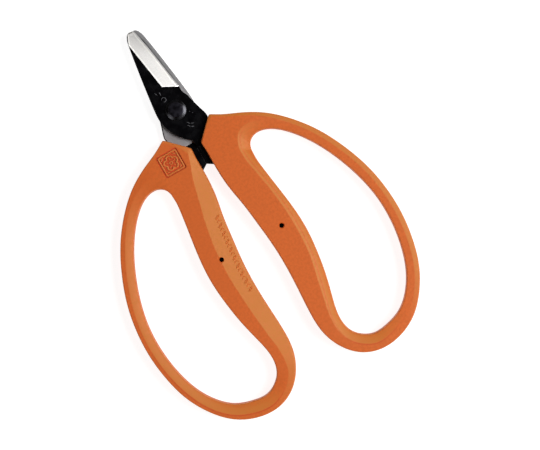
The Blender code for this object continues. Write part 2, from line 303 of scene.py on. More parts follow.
def half_mesh(
    name: str, half: Half, points: Array, quads: Array,
    values: dict[str, Array | float] | None = None, strips: Array | None = None,
) -> bpy.types.Mesh:
    """Make a closed mesh in a half's place, with its doubles merged and its faces outwards.

    Points closer than a hundred-thousandth of a millimetre are merged by rounding, and a quad
    that loses a corner becomes a triangle. The signed volume says which way the faces look.

    Args:
        name: the mesh's name.
        half: the half that the points belong to.
        points: x, y, z in millimetres, in the left half's frame.
        quads: rows of four point numbers.
        values: name to one value, or to one for each point, stored on the mesh.
        strips: the number of each quad's finish.

    Returns:
        The mesh, in metres in the world.
    """
    points = place_half(points.reshape(-1, 3), half)
    count = len(points)
    keys = np.round(points / MERGE_DISTANCE).astype(np.int64)
    _, first, inverse = np.unique(keys, axis=0, return_index=True, return_inverse=True)
    points, quads = points[first], inverse.reshape(-1)[quads]
    a, b, c, d = (points[quads[:, pick]] for pick in range(4))
    volume = np.einsum("ij,ij->", a, np.cross(b, c)) + np.einsum("ij,ij->", a, np.cross(c, d))
    if volume < 0:
        quads = quads[:, ::-1]
    kept = quads != np.roll(quads, -1, axis=1)
    real = kept.sum(axis=1) >= 3
    kept, corners = kept[real], quads[real][kept[real]]
    starts = np.append(0, np.cumsum(kept.sum(axis=1))[:-1])
    mesh = bpy.data.meshes.new(name)
    mesh.vertices.add(len(points))
    mesh.vertices.foreach_set("co", points.astype(np.float32).ravel())
    mesh.loops.add(len(corners))
    mesh.loops.foreach_set("vertex_index", corners.astype(np.int32))
    mesh.polygons.add(len(starts))
    mesh.polygons.foreach_set("loop_start", starts.astype(np.int32))
    mesh.update(calc_edges=True)
    for title, value in (values or {}).items():
        store_values(mesh, title, np.broadcast_to(np.ravel(value), (count,))[first])
    if strips is not None:
        mesh.polygons.foreach_set("material_index", strips[real].astype(np.int32))
    return mesh


def lathe(
    name: str, half: Half, profile: Array, turns: int,
    centre: tuple[float, float] = (0.0, 0.0), values: dict[str, Array | float] | None = None,
) -> bpy.types.Mesh:
    """Turn a closed profile about an upright axis: each point goes round its radius's circle.

    Args:
        name: the mesh's name.
        half: the half whose frame the profile is in.
        profile: rows of radius and height in millimetres, in order round the section.
        turns: samples round the circle.
        centre: where the axis stands.
        values: values to store on the mesh.

    Returns:
        The turned mesh.
    """
    angle = np.linspace(0, 2 * np.pi, turns, endpoint=False)[:, None]
    radius, height = profile.T
    points = np.stack(
        [centre[0] + radius * np.cos(angle), centre[1] + radius * np.sin(angle),
         height + 0 * angle], axis=-1
    )
    return half_mesh(name, half, points, grid_quads(turns, len(profile), True, True), values)


def add_piece(mesh: bpy.types.Mesh, sharp_angle: float) -> bpy.types.Object:
    """Link a mesh as a piece at the origin, smooth but for the edges past an angle.

    Args:
        mesh: the piece's mesh, in world metres, with the piece's name.
        sharp_angle: the angle between faces, in degrees, from which an edge is sharp.

    Returns:
        The new object.
    """
    piece = bpy.data.objects.new(mesh.name, mesh)
    bpy.context.scene.collection.objects.link(piece)
    mesh.shade_smooth()
    mesh.set_sharp_from_angle(angle=math.radians(sharp_angle))
    return piece


def rounded(corners: tuple[tuple[float, float, float], ...], steps: int = 6) -> Array:
    """Round the corners of a closed polygon.

    Each corner is replaced by a quadratic curve that starts and ends at its own distance from
    the corner, so a distance of 0 keeps it sharp.

    Args:
        corners: x, y and rounding distance of each corner.
        steps: samples on each rounded corner.

    Returns:
        Rows of x and y.
    """
    table = np.array(corners, dtype=float)
    place, size = table[:, :2], table[:, 2:]
    back = np.roll(place, 1, axis=0) - place
    ahead = np.roll(place, -1, axis=0) - place
    back /= np.linalg.norm(back, axis=1, keepdims=True)
    ahead /= np.linalg.norm(ahead, axis=1, keepdims=True)
    start, end = place + back * size, place + ahead * size
    part = np.linspace(0, 1, steps)[None, :, None]
    curve = (
        (1 - part) ** 2 * start[:, None]
        + 2 * part * (1 - part) * place[:, None]
        + part**2 * end[:, None]
    )
    return curve.reshape(-1, 2)


# ---------------------------------------------------------------------------------------------
# Shader node groups and finishes
# ---------------------------------------------------------------------------------------------


@dataclass
class NodeBench:
    """A node tree with short ways to add and join nodes."""

    tree: bpy.types.NodeTree

    def fill(self, node: bpy.types.Node, values: dict[str | int, object]) -> None:
        """Link a node's sockets to the outputs given for them, or set their own values.

        Args:
            node: the node.
            values: socket name or number to a value or an output socket.
        """
        for socket, value in values.items():
            if isinstance(value, bpy.types.NodeSocket):
                self.tree.links.new(value, node.inputs[socket])
            else:
                node.inputs[socket].default_value = value

    def add(
        self, kind: str, values: dict[str | int, object] | None = None, **settings: object
    ) -> bpy.types.Node:
        """Add a node.

        Args:
            kind: the node's type name.
            values: socket name or number to a value, or to an output socket to link from.
            settings: properties of the node.

        Returns:
            The new node.
        """
        node = self.tree.nodes.new(kind)
        for key, setting in settings.items():
            setattr(node, key, setting)
        self.fill(node, values or {})
        return node

    def math(self, operation: str, *values: object, clamp: bool = False) -> bpy.types.NodeSocket:
        """Add a Math node and return its output.

        Args:
            operation: what it does.
            values: its inputs, in order.
            clamp: whether the result is kept between 0 and 1.

        Returns:
            Its output.
        """
        node = self.add("ShaderNodeMath", dict(enumerate(values)), operation=operation)
        node.use_clamp = clamp
        return node.outputs[0]

    def spread(
        self, value: object, low: float, high: float, to_low: float, to_high: float
    ) -> bpy.types.NodeSocket:
        """Map a value smoothly from one range to another, clamped, and return the output.

        Args:
            value: the value.
            low, high: the range that it comes from.
            to_low, to_high: the range that it goes to.

        Returns:
            The mapped value.
        """
        sockets = {"Value": value, 1: low, 2: high, 3: to_low, 4: to_high}
        return self.add(
            "ShaderNodeMapRange", sockets, interpolation_type="SMOOTHSTEP"
        ).outputs[0]

    def noise(self, place: object, scale: object, detail: float) -> bpy.types.NodeSocket:
        """Add a noise texture and return its value."""
        sockets = {"Vector": place, "Scale": scale, "Detail": detail}
        return self.add("ShaderNodeTexNoise", sockets).outputs[0]

    def layered(self, body: object, *layers: tuple[object, object]) -> object:
        """Mix colours over a first one, each by its own mask, and return the output.

        Args:
            body: the first colour.
            layers: pairs of mask and colour.

        Returns:
            The mixed colour.
        """
        for mask, colour in layers:
            mix = self.add("ShaderNodeMix", {0: mask, 6: body, 7: colour}, data_type="RGBA")
            body = mix.outputs[2]
        return body

    def bump(self, height: object, depth: float, strength: float = 1.0) -> bpy.types.NodeSocket:
        """Add a bump of a depth in millimetres and return its normal."""
        sockets = {"Height": height, "Distance": depth * MM, "Strength": strength}
        return self.add("ShaderNodeBump", sockets).outputs["Normal"]

    def stored(self, name: str) -> bpy.types.NodeSocket:
        """Return the value that the mesh stores under a name."""
        return self.add("ShaderNodeAttribute", attribute_name=name).outputs["Fac"]

    def group(self, tree: bpy.types.NodeTree, **values: object) -> bpy.types.NodeOutputs:
        """Place a shared group with its own values and return its outputs."""
        return self.add("ShaderNodeGroup", values, node_tree=tree).outputs


class Effects:
    """The surface effects that several finishes share, each made once as a node group."""

    def __init__(self) -> None:
        """Make the mottle, hairline and rub groups."""
        self.mottle = self._mottle()
        self.hairlines = self._hairlines()
        self.rub = self._rub()

    @staticmethod
    def _start(
        name: str, inputs: dict[str, float], outputs: tuple[str, ...]
    ) -> tuple[NodeBench, bpy.types.NodeOutputs, bpy.types.Node]:
        """Start a group that reads a place and floats, and puts out floats.

        Args:
            name: the group's name.
            inputs: name to default value of each float input.
            outputs: names of the outputs.

        Returns:
            The bench on the group's tree, its given sockets and its output node.
        """
        tree = bpy.data.node_groups.new(name, "ShaderNodeTree")
        tree.interface.new_socket("Place", in_out="INPUT", socket_type="NodeSocketVector")
        for title, default in inputs.items():
            socket = tree.interface.new_socket(
                title, in_out="INPUT", socket_type="NodeSocketFloat"
            )
            socket.default_value = default
        for title in outputs:
            tree.interface.new_socket(title, in_out="OUTPUT", socket_type="NodeSocketFloat")
        bench = NodeBench(tree)
        return bench, bench.add("NodeGroupInput").outputs, bench.add("NodeGroupOutput")

    def _mottle(self) -> bpy.types.NodeTree:
        """Soft blotches from two sizes of noise, added three to one.

        Returns:
            The group.
        """
        bench, given, result = self._start("mottle", {"Scale": 100.0}, ("Value",))
        broad = bench.noise(given["Place"], given["Scale"], 3.0)
        fine = bench.noise(given["Place"], bench.math("MULTIPLY", given["Scale"], 4.7), 2.0)
        total = bench.math("MULTIPLY_ADD", broad, 3.0, fine)
        bench.fill(result, {"Value": bench.math("MULTIPLY", total, 0.25)})
        return bench.tree

    def _hairlines(self) -> bpy.types.NodeTree:
        """Fine parallel lines: noise stretched along one axis of the place that is given.

        Returns:
            The group.
        """
        bench, given, result = self._start(
            "hairlines", {"Along": 60.0, "Across": 3000.0}, ("Lines", "Scratches")
        )
        split = bench.add("ShaderNodeSeparateXYZ", {0: given["Place"]}).outputs
        sizes = (given["Across"], given["Along"], given["Across"])
        stretched = bench.add("ShaderNodeCombineXYZ", {
            axis: bench.math("MULTIPLY", split[axis], size) for axis, size in enumerate(sizes)
        }).outputs[0]
        sparse = bench.noise(stretched, 0.37, 1.0)
        bench.fill(result, {
            "Lines": bench.noise(stretched, 1.0, 3.0),
            "Scratches": bench.spread(sparse, 0.68, 0.76, 0.0, 1.0),
        })
        return bench.tree

    def _rub(self) -> bpy.types.NodeTree:
        """Wear that starts on edges: the edge value, broken up by noise, past a threshold.

        On the moulding the same mask paints a pale highlight on edges and crests.

        Returns:
            The group.
        """
        bench, given, result = self._start(
            "rub", {"Edge": 0.0, "Amount": 0.5, "Scale": 900.0}, ("Mask",)
        )
        noise = bench.noise(given["Place"], given["Scale"], 4.0)
        reach = bench.math("MULTIPLY", given["Edge"], given["Amount"])
        total = bench.math("ADD", reach, bench.math("MULTIPLY", noise, 0.8))
        bench.fill(result, {"Mask": bench.spread(total, 0.72, 1.05, 0.0, 1.0)})
        return bench.tree


def start_material(name: str) -> tuple[bpy.types.Material, NodeBench, bpy.types.Node]:
    """Return a new material, its bench and its Principled shader.

    Args:
        name: the material's name.

    Returns:
        The three of them.
    """
    material = bpy.data.materials.new(name)
    material.use_nodes = True
    shader = material.node_tree.nodes["Principled BSDF"]
    return material, NodeBench(material.node_tree), shader


@dataclass
class FinishBench(NodeBench):
    """A material's bench, with the point's place and the shared effects at hand."""

    place: bpy.types.NodeSocket
    effects: Effects

    def mottle(self, scale: float) -> bpy.types.NodeSocket:
        """Return soft blotches of a scale."""
        return self.group(self.effects.mottle, Place=self.place, Scale=scale)["Value"]

    def rub(self, amount: float, scale: float) -> bpy.types.NodeSocket:
        """Return the mask of worn edges from the stored edge values, of an amount and a scale.

        On the moulding the mask also paints a pale highlight.

        Args:
            amount: how much the edge value counts.
            scale: of the noise that breaks it up.

        Returns:
            The mask.
        """
        place, edge = self.place, self.stored("edge")
        group = self.group(self.effects.rub, Place=place, Edge=edge, Amount=amount, Scale=scale)
        return group["Mask"]

    def hairlines(
        self, place: bpy.types.NodeSocket, along: float, across: float
    ) -> bpy.types.NodeOutputs:
        """Return parallel lines and scratches, at two scales."""
        return self.group(self.effects.hairlines, Place=place, Along=along, Across=across)


def scaled(colour: Colour, factor: float = 1.0, most: float = 1.0) -> tuple[float, ...]:
    """Return a colour made lighter or darker by a factor, up to a limit, fully opaque."""
    return (*(min(channel * factor, most) for channel in colour), 1.0)


@dataclass(frozen=True)
class Finish:
    """What every finish has: a name, a main colour and a roughness."""

    name: str
    colour: Colour
    roughness: float

    def make(self, effects: Effects) -> bpy.types.Material:
        """Build the material.

        Args:
            effects: the shared node groups.

        Returns:
            The finished material.
        """
        material, bench, shader = start_material(self.name)
        place = bench.add("ShaderNodeTexCoord").outputs["Object"]
        bench.fill(shader, self.looks(FinishBench(bench.tree, place, effects)))
        return material

    def looks(self, bench: FinishBench) -> dict[str, object]:
        """Work out what feeds the shader; each kind of finish has its own way.

        Args:
            bench: the material's nodes.

        Returns:
            Shader socket name to value or output.
        """
        raise NotImplementedError(bench)


@dataclass(frozen=True)
class MouldedPlastic(Finish):
    """Satin injection-moulded plastic with a fine spark-eroded grain."""

    colour: Colour = (0.635, 0.112, 0.014)
    roughness: float = 0.54
    # The next three colours paint light and shade: the first is painted shade for the crease line
    # and the emblem recess, the second is painted light on the sloping facets, and the third is a
    # pale rub on edges that paints their highlight and the highlight on the rim's crest.
    deep: Colour = (0.540, 0.056, 0.009)
    light: Colour = (0.595, 0.166, 0.023)
    pale: Colour = (0.640, 0.200, 0.048)
    grain_size: float = 0.16
    grain_depth: float = 0.006

    def looks(self, bench: FinishBench) -> dict[str, object]:
        """Vary the colour in drifts and specks, and paint light and shade from stored values.

        Args:
            bench: the material's nodes.

        Returns:
            Shader socket name to value or output.
        """
        tone = bench.stored("tone")
        fine, rub = bench.mottle(900.0), bench.rub(0.62, 700.0)
        drift = bench.spread(bench.mottle(45.0), 0.38, 0.62, 0.0, 1.0)
        speck = bench.spread(fine, 0.40, 0.62, 0.0, 0.9)
        uneven = bench.spread(fine, 0.35, 0.65, 0.75, 1.1)
        rough = bench.spread(fine, 0.35, 0.65, self.roughness - 0.04, self.roughness + 0.05)
        return {
            "Base Color": bench.layered(
                scaled(self.colour),
                (drift, scaled(self.colour, 1.06)),
                (speck, scaled(self.colour, 0.93)),
                # Painted light: the stored tone paints the sloping facets paler as if they caught
                # the lamp, and its negative part paints a shade line along the crease.
                (bench.math("MULTIPLY", tone, uneven, clamp=True), scaled(self.light)),
                (bench.math("MULTIPLY", tone, -0.8, clamp=True), scaled(self.deep)),
                # Painted highlight: a pale rub on the edges and the rim's crest, broken up by
                # noise like worn edges.
                (rub, scaled(self.pale)),
                # Painted shade: darkens the emblem recess, and faintly the grip marks.
                (bench.stored("painted_shade"), scaled(self.deep)),
            ),
            "Roughness": bench.math("ADD", rough, bench.math("MULTIPLY", rub, -0.10)),
            "Normal": bench.bump(
                bench.noise(bench.place, 1 / (self.grain_size * MM), 2.0), self.grain_depth
            ),
            "IOR": 1.5,
            "Specular Tint": (1.0, 0.92, 0.6, 1.0),
        }


@dataclass(frozen=True)
class CoatedSteel(Finish):
    """Steel with a thin black baked coating, rubbed through on its edges."""

    colour: Colour = (0.0013, 0.0012, 0.0018)
    roughness: float = 0.23
    haze: Colour = (0.003, 0.003, 0.0042)
    steel: Colour = (0.42, 0.42, 0.43)
    gloss: float = 0.16

    def looks(self, bench: FinishBench) -> dict[str, object]:
        """Cloud the coating with a faint haze, scuff it, and show steel where it is rubbed.

        Args:
            bench: the material's nodes.

        Returns:
            Shader socket name to value or output.
        """
        cloud, rub = bench.mottle(260.0), bench.rub(0.6, 1400.0)
        lines = bench.hairlines(bench.place, 90.0, 2600.0)
        hazy = bench.spread(cloud, 0.4, 0.65, 0.0, 0.5)
        rough = bench.spread(cloud, 0.35, 0.65, self.roughness - 0.05, self.roughness + 0.08)
        return {
            "Base Color": bench.layered(
                scaled(self.colour), (hazy, scaled(self.haze)), (rub, scaled(self.steel))
            ),
            "Metallic": rub,
            "Roughness": bench.math("MULTIPLY_ADD", lines["Scratches"], 0.12, rough),
            "Normal": bench.bump(lines["Lines"], 0.002, 0.6),
            "Specular IOR Level": self.gloss,
        }


@dataclass(frozen=True)
class GroundSteel(Finish):
    """Bare steel with the fine parallel lines of a grinding wheel."""

    colour: Colour = (0.77, 0.755, 0.735)
    roughness: float = 0.34
    # Colour of the painted highlight along the bevel's borders.
    border: Colour = (1.0, 0.99, 0.95)
    line_angle: float = 0.0
    line_depth: float = 0.0025

    def looks(self, bench: FinishBench) -> dict[str, object]:
        """Draw the lines at their angle, with faint stains and a painted highlight on the border.

        Args:
            bench: the material's nodes.

        Returns:
            Shader socket name to value or output.
        """
        turned = bench.add("ShaderNodeMapping", {
            "Vector": bench.place, "Rotation": (0.0, 0.0, math.radians(self.line_angle)),
        }).outputs[0]
        lines = bench.hairlines(turned, 160.0, 5200.0)
        tone = bench.spread(lines["Lines"], 0.3, 0.7, 0.0, 1.0)
        stain = bench.spread(bench.mottle(240.0), 0.5, 0.7, 0.0, 0.25)
        rough = bench.spread(
            lines["Lines"], 0.3, 0.7, self.roughness + 0.08, self.roughness - 0.05
        )
        return {
            "Base Color": bench.layered(
                scaled(self.colour, 0.86),
                (tone, scaled(self.colour)),
                (stain, scaled(self.colour, 0.84)),
                # Painted highlight: the stored edge value brightens the bevel's borders.
                (bench.stored("edge"), scaled(self.border)),
            ),
            "Roughness": bench.math("MULTIPLY_ADD", lines["Scratches"], 0.04, rough),
            "Normal": bench.bump(lines["Lines"], self.line_depth),
            "Metallic": 1.0,
        }


@dataclass(frozen=True)
class OiledSteel(Finish):
    """Dark oiled steel of turned and riveted pieces."""

    def looks(self, bench: FinishBench) -> dict[str, object]:
        """Mottle the oiled steel and rub it bright on its edges.

        Args:
            bench: the material's nodes.

        Returns:
            Shader socket name to value or output.
        """
        cloud, rub = bench.mottle(520.0), bench.rub(0.5, 1500.0)
        return {
            "Base Color": bench.layered(
                scaled(self.colour, 0.72),
                (bench.spread(cloud, 0.38, 0.62, 0.0, 1.0), scaled(self.colour)),
                (rub, scaled(self.colour, 3.0, 0.6)),
            ),
            "Roughness": bench.spread(
                cloud, 0.35, 0.65, self.roughness - 0.07, self.roughness + 0.09
            ),
            "Normal": bench.bump(cloud, 0.01, 0.5),
            "Metallic": 1.0,
        }


class Finishes:
    """All finishes of the tool, made once and shared by its pieces."""

    def __init__(self) -> None:
        """Make every finish."""
        effects = Effects()
        self.made: dict[str, bpy.types.Material] = {}
        for recipe in (
            MouldedPlastic("orange_moulding"),
            CoatedSteel("black_coating"),
            GroundSteel("ground_bevel_front", line_angle=-80.0),
            GroundSteel("ground_bevel_rear", line_angle=80.0),
            # Its border colour is a painted highlight on the honed strip beside the cutting edge.
            GroundSteel("bare_inner_face", (0.43, 0.42, 0.43), 0.44, (0.8, 0.8, 0.8)),
            OiledSteel("rivet_steel", (0.034, 0.032, 0.042), 0.33),
            OiledSteel("washer_steel", (0.050, 0.050, 0.056), 0.30),
            OiledSteel("stamp_steel", (0.12, 0.12, 0.13), 0.5),
        ):
            self.made[recipe.name] = recipe.make(effects)
            LOG.info("finish %s", recipe.name)

    def complete(
        self, piece: bpy.types.Object, names: tuple[str, ...], body: str,
        node: str | None = None,
    ) -> None:
        """Dress a piece, put it on its body and hide the frame node that it stands for.

        Args:
            piece: the piece.
            names: the finishes of its material slots, in order.
            body: the frame body that it rides on.
            node: the frame node that it stands for, if any.
        """
        for name in names:
            piece.data.materials.append(self.made[name])
        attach(piece, body)
        if node:
            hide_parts(node)
        LOG.info("%s: %d faces", piece.name, len(piece.data.polygons))


# ---------------------------------------------------------------------------------------------
# Handles
# ---------------------------------------------------------------------------------------------


@dataclass(frozen=True)
class FaceShape:
    """How one face of the handle falls away on both sides of its flat, round the loop.

    Each field holds (station number, value) keys. Crests are distances in millimetres from the
    hole or from the rim to where the fall starts; slopes are falls for each millimetre. Two
    fields are painted light: how much paler the face past the hole's and the rim's crest is
    painted, as if it caught the lamp. The crease field is painted shade: how dark the painted
    line beside the hole's crest is, and crease_shift how far towards the hole from the crest
    it runs.
    """

    hole_crest: Keys
    hole_slope: Keys
    hole_curve: Keys
    rim_crest: Keys
    rim_slope: Keys
    hole_tone: Keys
    rim_tone: Keys
    crease: Keys
    crease_shift: Keys


@dataclass(frozen=True)
class Sections:
    """The handle's cross-sections: hole, unit vector to the rim, width (a column), station."""

    hole: Array
    along: Array
    width: Array
    station: Array
    total: int

    @property
    def rim(self) -> Array:
        """Return the rim's point of each section."""
        return self.hole + self.along * self.width

    def read(self, keys: Keys, window: int = 21) -> Array:
        """Read keys round the loop and ease the corners between them.

        Args:
            keys: (station number, value) pairs.
            window: easing window in sections.

        Returns:
            A column with one value for each section.
        """
        places, values = np.array(keys, dtype=float).T
        return ease(np.interp(self.station, places, values, period=self.total), window)[:, None]


@dataclass
class LoopHandle:
    """One moulded handle: a ring of cross-sections round the finger hole.

    The stations give the rim and the finger hole of the left handle, in millimetres: down the
    stem, round the bottom, up the slender strand and over the top. The rim's top is a smooth
    extension that the chamfer line trims.
    """

    stations: tuple[tuple[float, float, float, float], ...] = (
        (-2.4, -18.0, -18.9, -30.3),
        (-2.6, -26.0, -18.8, -33.0),
        (-3.0, -36.0, -19.1, -37.0),
        (-4.7, -46.5, -20.4, -46.5),
        (-6.1, -57.5, -21.9, -57.5),
        (-7.2, -68.5, -22.5, -68.5),
        (-7.5, -79.5, -21.7, -79.0),
        (-7.1, -90.0, -20.0, -89.5),
        (-6.6, -100.0, -17.7, -99.0),
        (-7.2, -109.5, -16.2, -107.0),
        (-10.6, -118.0, -17.2, -113.8),
        (-16.4, -124.2, -20.6, -118.0),
        (-24.5, -127.3, -25.6, -120.3),
        (-33.5, -126.6, -31.8, -119.8),
        (-42.3, -122.5, -39.0, -117.2),
        (-49.8, -114.8, -45.5, -111.2),
        (-55.1, -105.5, -50.0, -103.6),
        (-58.2, -95.0, -53.0, -94.0),
        (-59.7, -83.5, -54.5, -83.0),
        (-59.4, -72.0, -54.2, -72.0),
        (-57.4, -60.5, -52.1, -61.5),
        (-53.4, -48.8, -48.3, -50.6),
        (-47.2, -36.6, -42.6, -39.4),
        (-39.2, -26.2, -35.4, -30.1),
        (-30.5, -18.5, -28.6, -25.2),
        (-22.0, -13.8, -23.6, -24.5),
        (-14.0, -10.0, -20.7, -25.9),
        (-6.5, -7.2, -19.4, -27.8),
        (-2.6, -10.5, -19.0, -29.2),
    )
    half_thickness: Keys = (
        (0, 5.0), (7, 5.0), (9, 4.8), (11, 4.3), (13, 4.1), (22, 4.1), (23, 4.3), (25, 4.95),
        (26, 5.0), (28, 5.0),
    )
    edge_radius: Keys = ((0, 0.5), (8, 0.5), (12, 0.5), (22, 0.45), (25, 0.5), (28, 0.5))
    ridged: FaceShape = FaceShape(
        hole_crest=(
            (0, 2.0), (9, 2.0), (10, 3.0), (11, 4.3), (12, 4.7), (13, 4.7), (14, 4.3), (16, 3.5),
            (22, 3.4), (24, 4.0), (25, 5.0), (28, 4.0),
        ),
        hole_slope=(
            (0, 0.0), (10, 0.0), (11, 0.05), (12, 0.07), (13, 0.12), (15, 0.16), (21, 0.16),
            (23, 0.13), (25, 0.06), (26, 0.02), (27, 0.0),
        ),
        hole_curve=((0, 0.0), (13, 0.0), (15, 0.03), (22, 0.03), (24, 0.0)),
        rim_crest=(
            (0, 3.1), (1, 6.0), (2, 7.1), (3, 7.8), (4, 8.25), (5, 7.8), (6, 7.15), (7, 6.8),
            (8, 6.4), (9, 5.0), (10, 3.0), (12, 2.2), (14, 1.5), (16, 1.2), (28, 1.1),
        ),
        rim_slope=(
            (0, 0.20), (8, 0.21), (9, 0.17), (10, 0.12), (12, 0.06), (14, 0.0), (28, 0.0),
        ),
        hole_tone=(
            (0, 0.0), (11, 0.0), (11.8, 0.6), (12.6, 1.0), (16, 1.0), (19, 0.75), (22, 0.6),
            (24, 0.1),
        ),
        rim_tone=(
            (0, 0.9), (8, 1.0), (9, 0.8), (10, 0.6), (12, 0.1), (14, 0.0), (24, 0.0), (26, 0.3),
        ),
        crease=((0, 0.0), (11, 0.0), (11.8, 0.7), (12.3, 1.0), (16, 0.8), (19, 0.3), (21, 0.0)),
        crease_shift=((0, -0.3), (28, -0.3)),
    )
    plain: FaceShape = FaceShape(
        hole_crest=(
            (0, 5.2), (1, 4.3), (2, 3.4), (3, 2.9), (4, 3.15), (5, 3.5), (6, 3.4), (7, 4.0),
            (8, 3.7), (9, 3.5), (11, 3.7), (12, 4.0), (13, 3.4), (15, 1.8), (22, 1.6), (24, 3.4),
            (25, 5.2), (26, 6.0), (27, 6.0), (28, 5.6),
        ),
        hole_slope=(
            (0, 0.26), (9, 0.28), (11, 0.22), (12, 0.16), (13, 0.06), (14, 0.0), (22, 0.0),
            (24, 0.10), (25, 0.12), (26, 0.14), (27, 0.18), (28, 0.22),
        ),
        hole_curve=((0, 0.04), (9, 0.05), (12, 0.0), (23, 0.0), (25, 0.01), (28, 0.03)),
        rim_crest=(
            (0, 1.2), (9, 1.4), (11, 2.2), (12, 2.4), (13, 2.2), (15, 2.2), (22, 2.1), (25, 1.5),
            (27, 1.3), (28, 1.2),
        ),
        rim_slope=(
            (0, 0.0), (9, 0.0), (11, 0.04), (12, 0.06), (14, 0.04), (16, 0.14), (22, 0.16),
            (25, 0.26), (26.6, 0.26), (27.4, 0.0), (28, 0.0),
        ),
        hole_tone=((0, 1.0), (12, 1.0), (13, 0.4), (14, 0.0), (24, 0.0), (25, 0.4), (28, 0.9)),
        rim_tone=((0, 0.0), (14, 0.0), (16, 0.9), (25, 1.0), (26.6, 1.0), (27.4, 0.0), (28, 0.0)),
        crease=(
            (0, 0.5), (7, 0.55), (9, 0.65), (12, 0.9), (13, 0.4), (14, 0.0), (25, 0.0),
            (26, 0.3), (28, 0.5),
        ),
        crease_shift=((0, 1.25), (7, 1.2), (9.5, 0.3), (11, -0.3), (24, -0.3), (26, 1.2)),
    )
    chamfer_line: float = 19.1
    corner_radius: float = 0.55
    crest_fillet: float = 0.22
    wall_bulge: float = 0.10
    parting_height: float = 0.05
    rings: int = 780
    samples: int = 6000
    hole_weight: float = 0.5
    turn_weight: float = 3.0
    most_turn: float = 0.5
    pin_hole: tuple[float, float, float] = (-14.2, -62.85, 1.0)
    panel_centre: tuple[float, float] = (-12.45, -17.95)
    panel_half_side: float = 4.85
    panel_corner: float = 0.9
    panel_depth: float = 0.62
    mark_count: int = 19
    mark_first: float = -47.0
    mark_last: float = -79.5
    mark_inset: float = 2.3
    face_level: float = 5.0
    blossom_radius: float = 3.05
    sharp_angle: float = 40.0

    def sections(self) -> Sections:
        """Work out the cross-sections of every ring.

        The spline is read densely, and the rings are then spread so that more of them fall
        where the rim turns.

        Returns:
            The sections.
        """
        spline = LoopSpline(np.array(self.stations))
        start = np.linspace(0, len(self.stations), self.samples, endpoint=False)
        dense = self._trim(spline, start)
        rim_step = np.roll(dense.rim, -1, axis=0) - dense.rim
        hole_step = np.roll(dense.hole, -1, axis=0) - dense.hole
        heading = np.unwrap(np.arctan2(rim_step[:, 1], rim_step[:, 0]))
        turn = np.abs(np.diff(heading, append=heading[-1]))
        weight = (
            np.linalg.norm(rim_step, axis=1)
            + self.hole_weight * np.linalg.norm(hole_step, axis=1)
            + self.turn_weight * np.minimum(turn, self.most_turn)
        )
        passed = np.append(0.0, np.cumsum(weight))
        wanted = np.linspace(0, passed[-1], self.rings, endpoint=False)
        stations = np.append(dense.station, dense.total)
        return self._trim(spline, np.interp(wanted, passed, stations))

    def _trim(self, spline: LoopSpline, station: Array) -> Sections:
        """Read sections and trim them at the chamfer line, by a rounded minimum of distances.

        Args:
            spline: rim x, rim y, hole x and hole y round the loop.
            station: where to read it.

        Returns:
            The trimmed sections.
        """
        rows = spline.read(station)
        rim, hole = rows[:, :2], rows[:, 2:]
        full = np.linalg.norm(rim - hole, axis=1, keepdims=True)
        along = (rim - hole) / full
        closing = along.sum(axis=1, keepdims=True)
        room = -self.chamfer_line - hole.sum(axis=1, keepdims=True)
        reach = np.where(closing > 0.05, room / np.maximum(closing, 0.05), 1e3)
        gap = full - reach
        width = 0.5 * (full + reach - np.sqrt(gap**2 + self.corner_radius**2))
        width = np.where(reach > 500, full, width)
        return Sections(hole, along, width, station, len(self.stations))

    def crests(self, shape: FaceShape, ring: Sections) -> tuple[Array, Array]:
        """Return a face's crest distances, kept clear of both edges and of each other.

        Args:
            shape: the face's crests.
            ring: the sections.

        Returns:
            The hole's and the rim's crest distances, as columns.
        """
        margin = ring.read(self.edge_radius) + self.crest_fillet + 0.04
        hole = np.maximum(ring.read(shape.hole_crest), margin)
        rim = np.maximum(ring.read(shape.rim_crest), margin)
        return hole, np.minimum(rim, ring.width - hole - 2 * self.crest_fillet - 0.04)

    def tone(self, shape: FaceShape, ring: Sections, place: Array) -> Array:
        """Return the painted light over a face, less the painted shade line at the crease.

        Past the hole's crest the painted light steps up, and sinks to six tenths towards the hole.
        Past the rim's crest it is even. The painted shade line is a bell curve at its shift from
        the hole's crest.

        Args:
            shape: the face's crests and tones.
            ring: the sections.
            place: distances from the hole.

        Returns:
            The tone of each sample.
        """
        hole_crest, rim_crest = self.crests(shape, ring)
        into_hole = hole_crest - place
        into_rim = place - (ring.width - rim_crest)
        hole = smooth_step(into_hole / 0.3 + 0.5) * (1 - 0.4 * smooth_step(into_hole / 1.4 - 1.5))
        shift = ring.read(shape.crease_shift, 9)
        line = np.exp(-(((into_hole - shift) / 0.25) ** 2)) * (1 + smooth_step(shift))
        return (
            ring.read(shape.hole_tone) * hole
            + ring.read(shape.rim_tone) * smooth_step(into_rim / 0.3 + 0.5)
            - ring.read(shape.crease) * line
        )

    def wear(self, shape: FaceShape, ring: Sections, place: Array) -> Array:
        """Return the edge value: 1 on the rounded edges and 0.6 on the rim's crest.

        Both are bell curves of the distance from the edge or from the crest. The value paints a
        pale highlight along the edges and the crest, broken up like worn edges.

        Args:
            shape: the face's crests and slopes.
            ring: the sections.
            place: distances from the hole.

        Returns:
            The edge value of each sample, for painted highlight and worn edges.
        """
        edge = ring.read(self.edge_radius)
        border = np.minimum(place, ring.width - place)
        value = np.exp(-(((border - 0.3 * edge) / (0.45 * edge)) ** 2))
        crest = ring.width - ring.read(shape.rim_crest)
        sharpness = np.clip(ring.read(shape.rim_slope) / 0.2, 0, 1)
        ridge = np.exp(-(((place - crest) / 0.35) ** 2)) * sharpness
        return np.maximum(value, 0.6 * ridge)

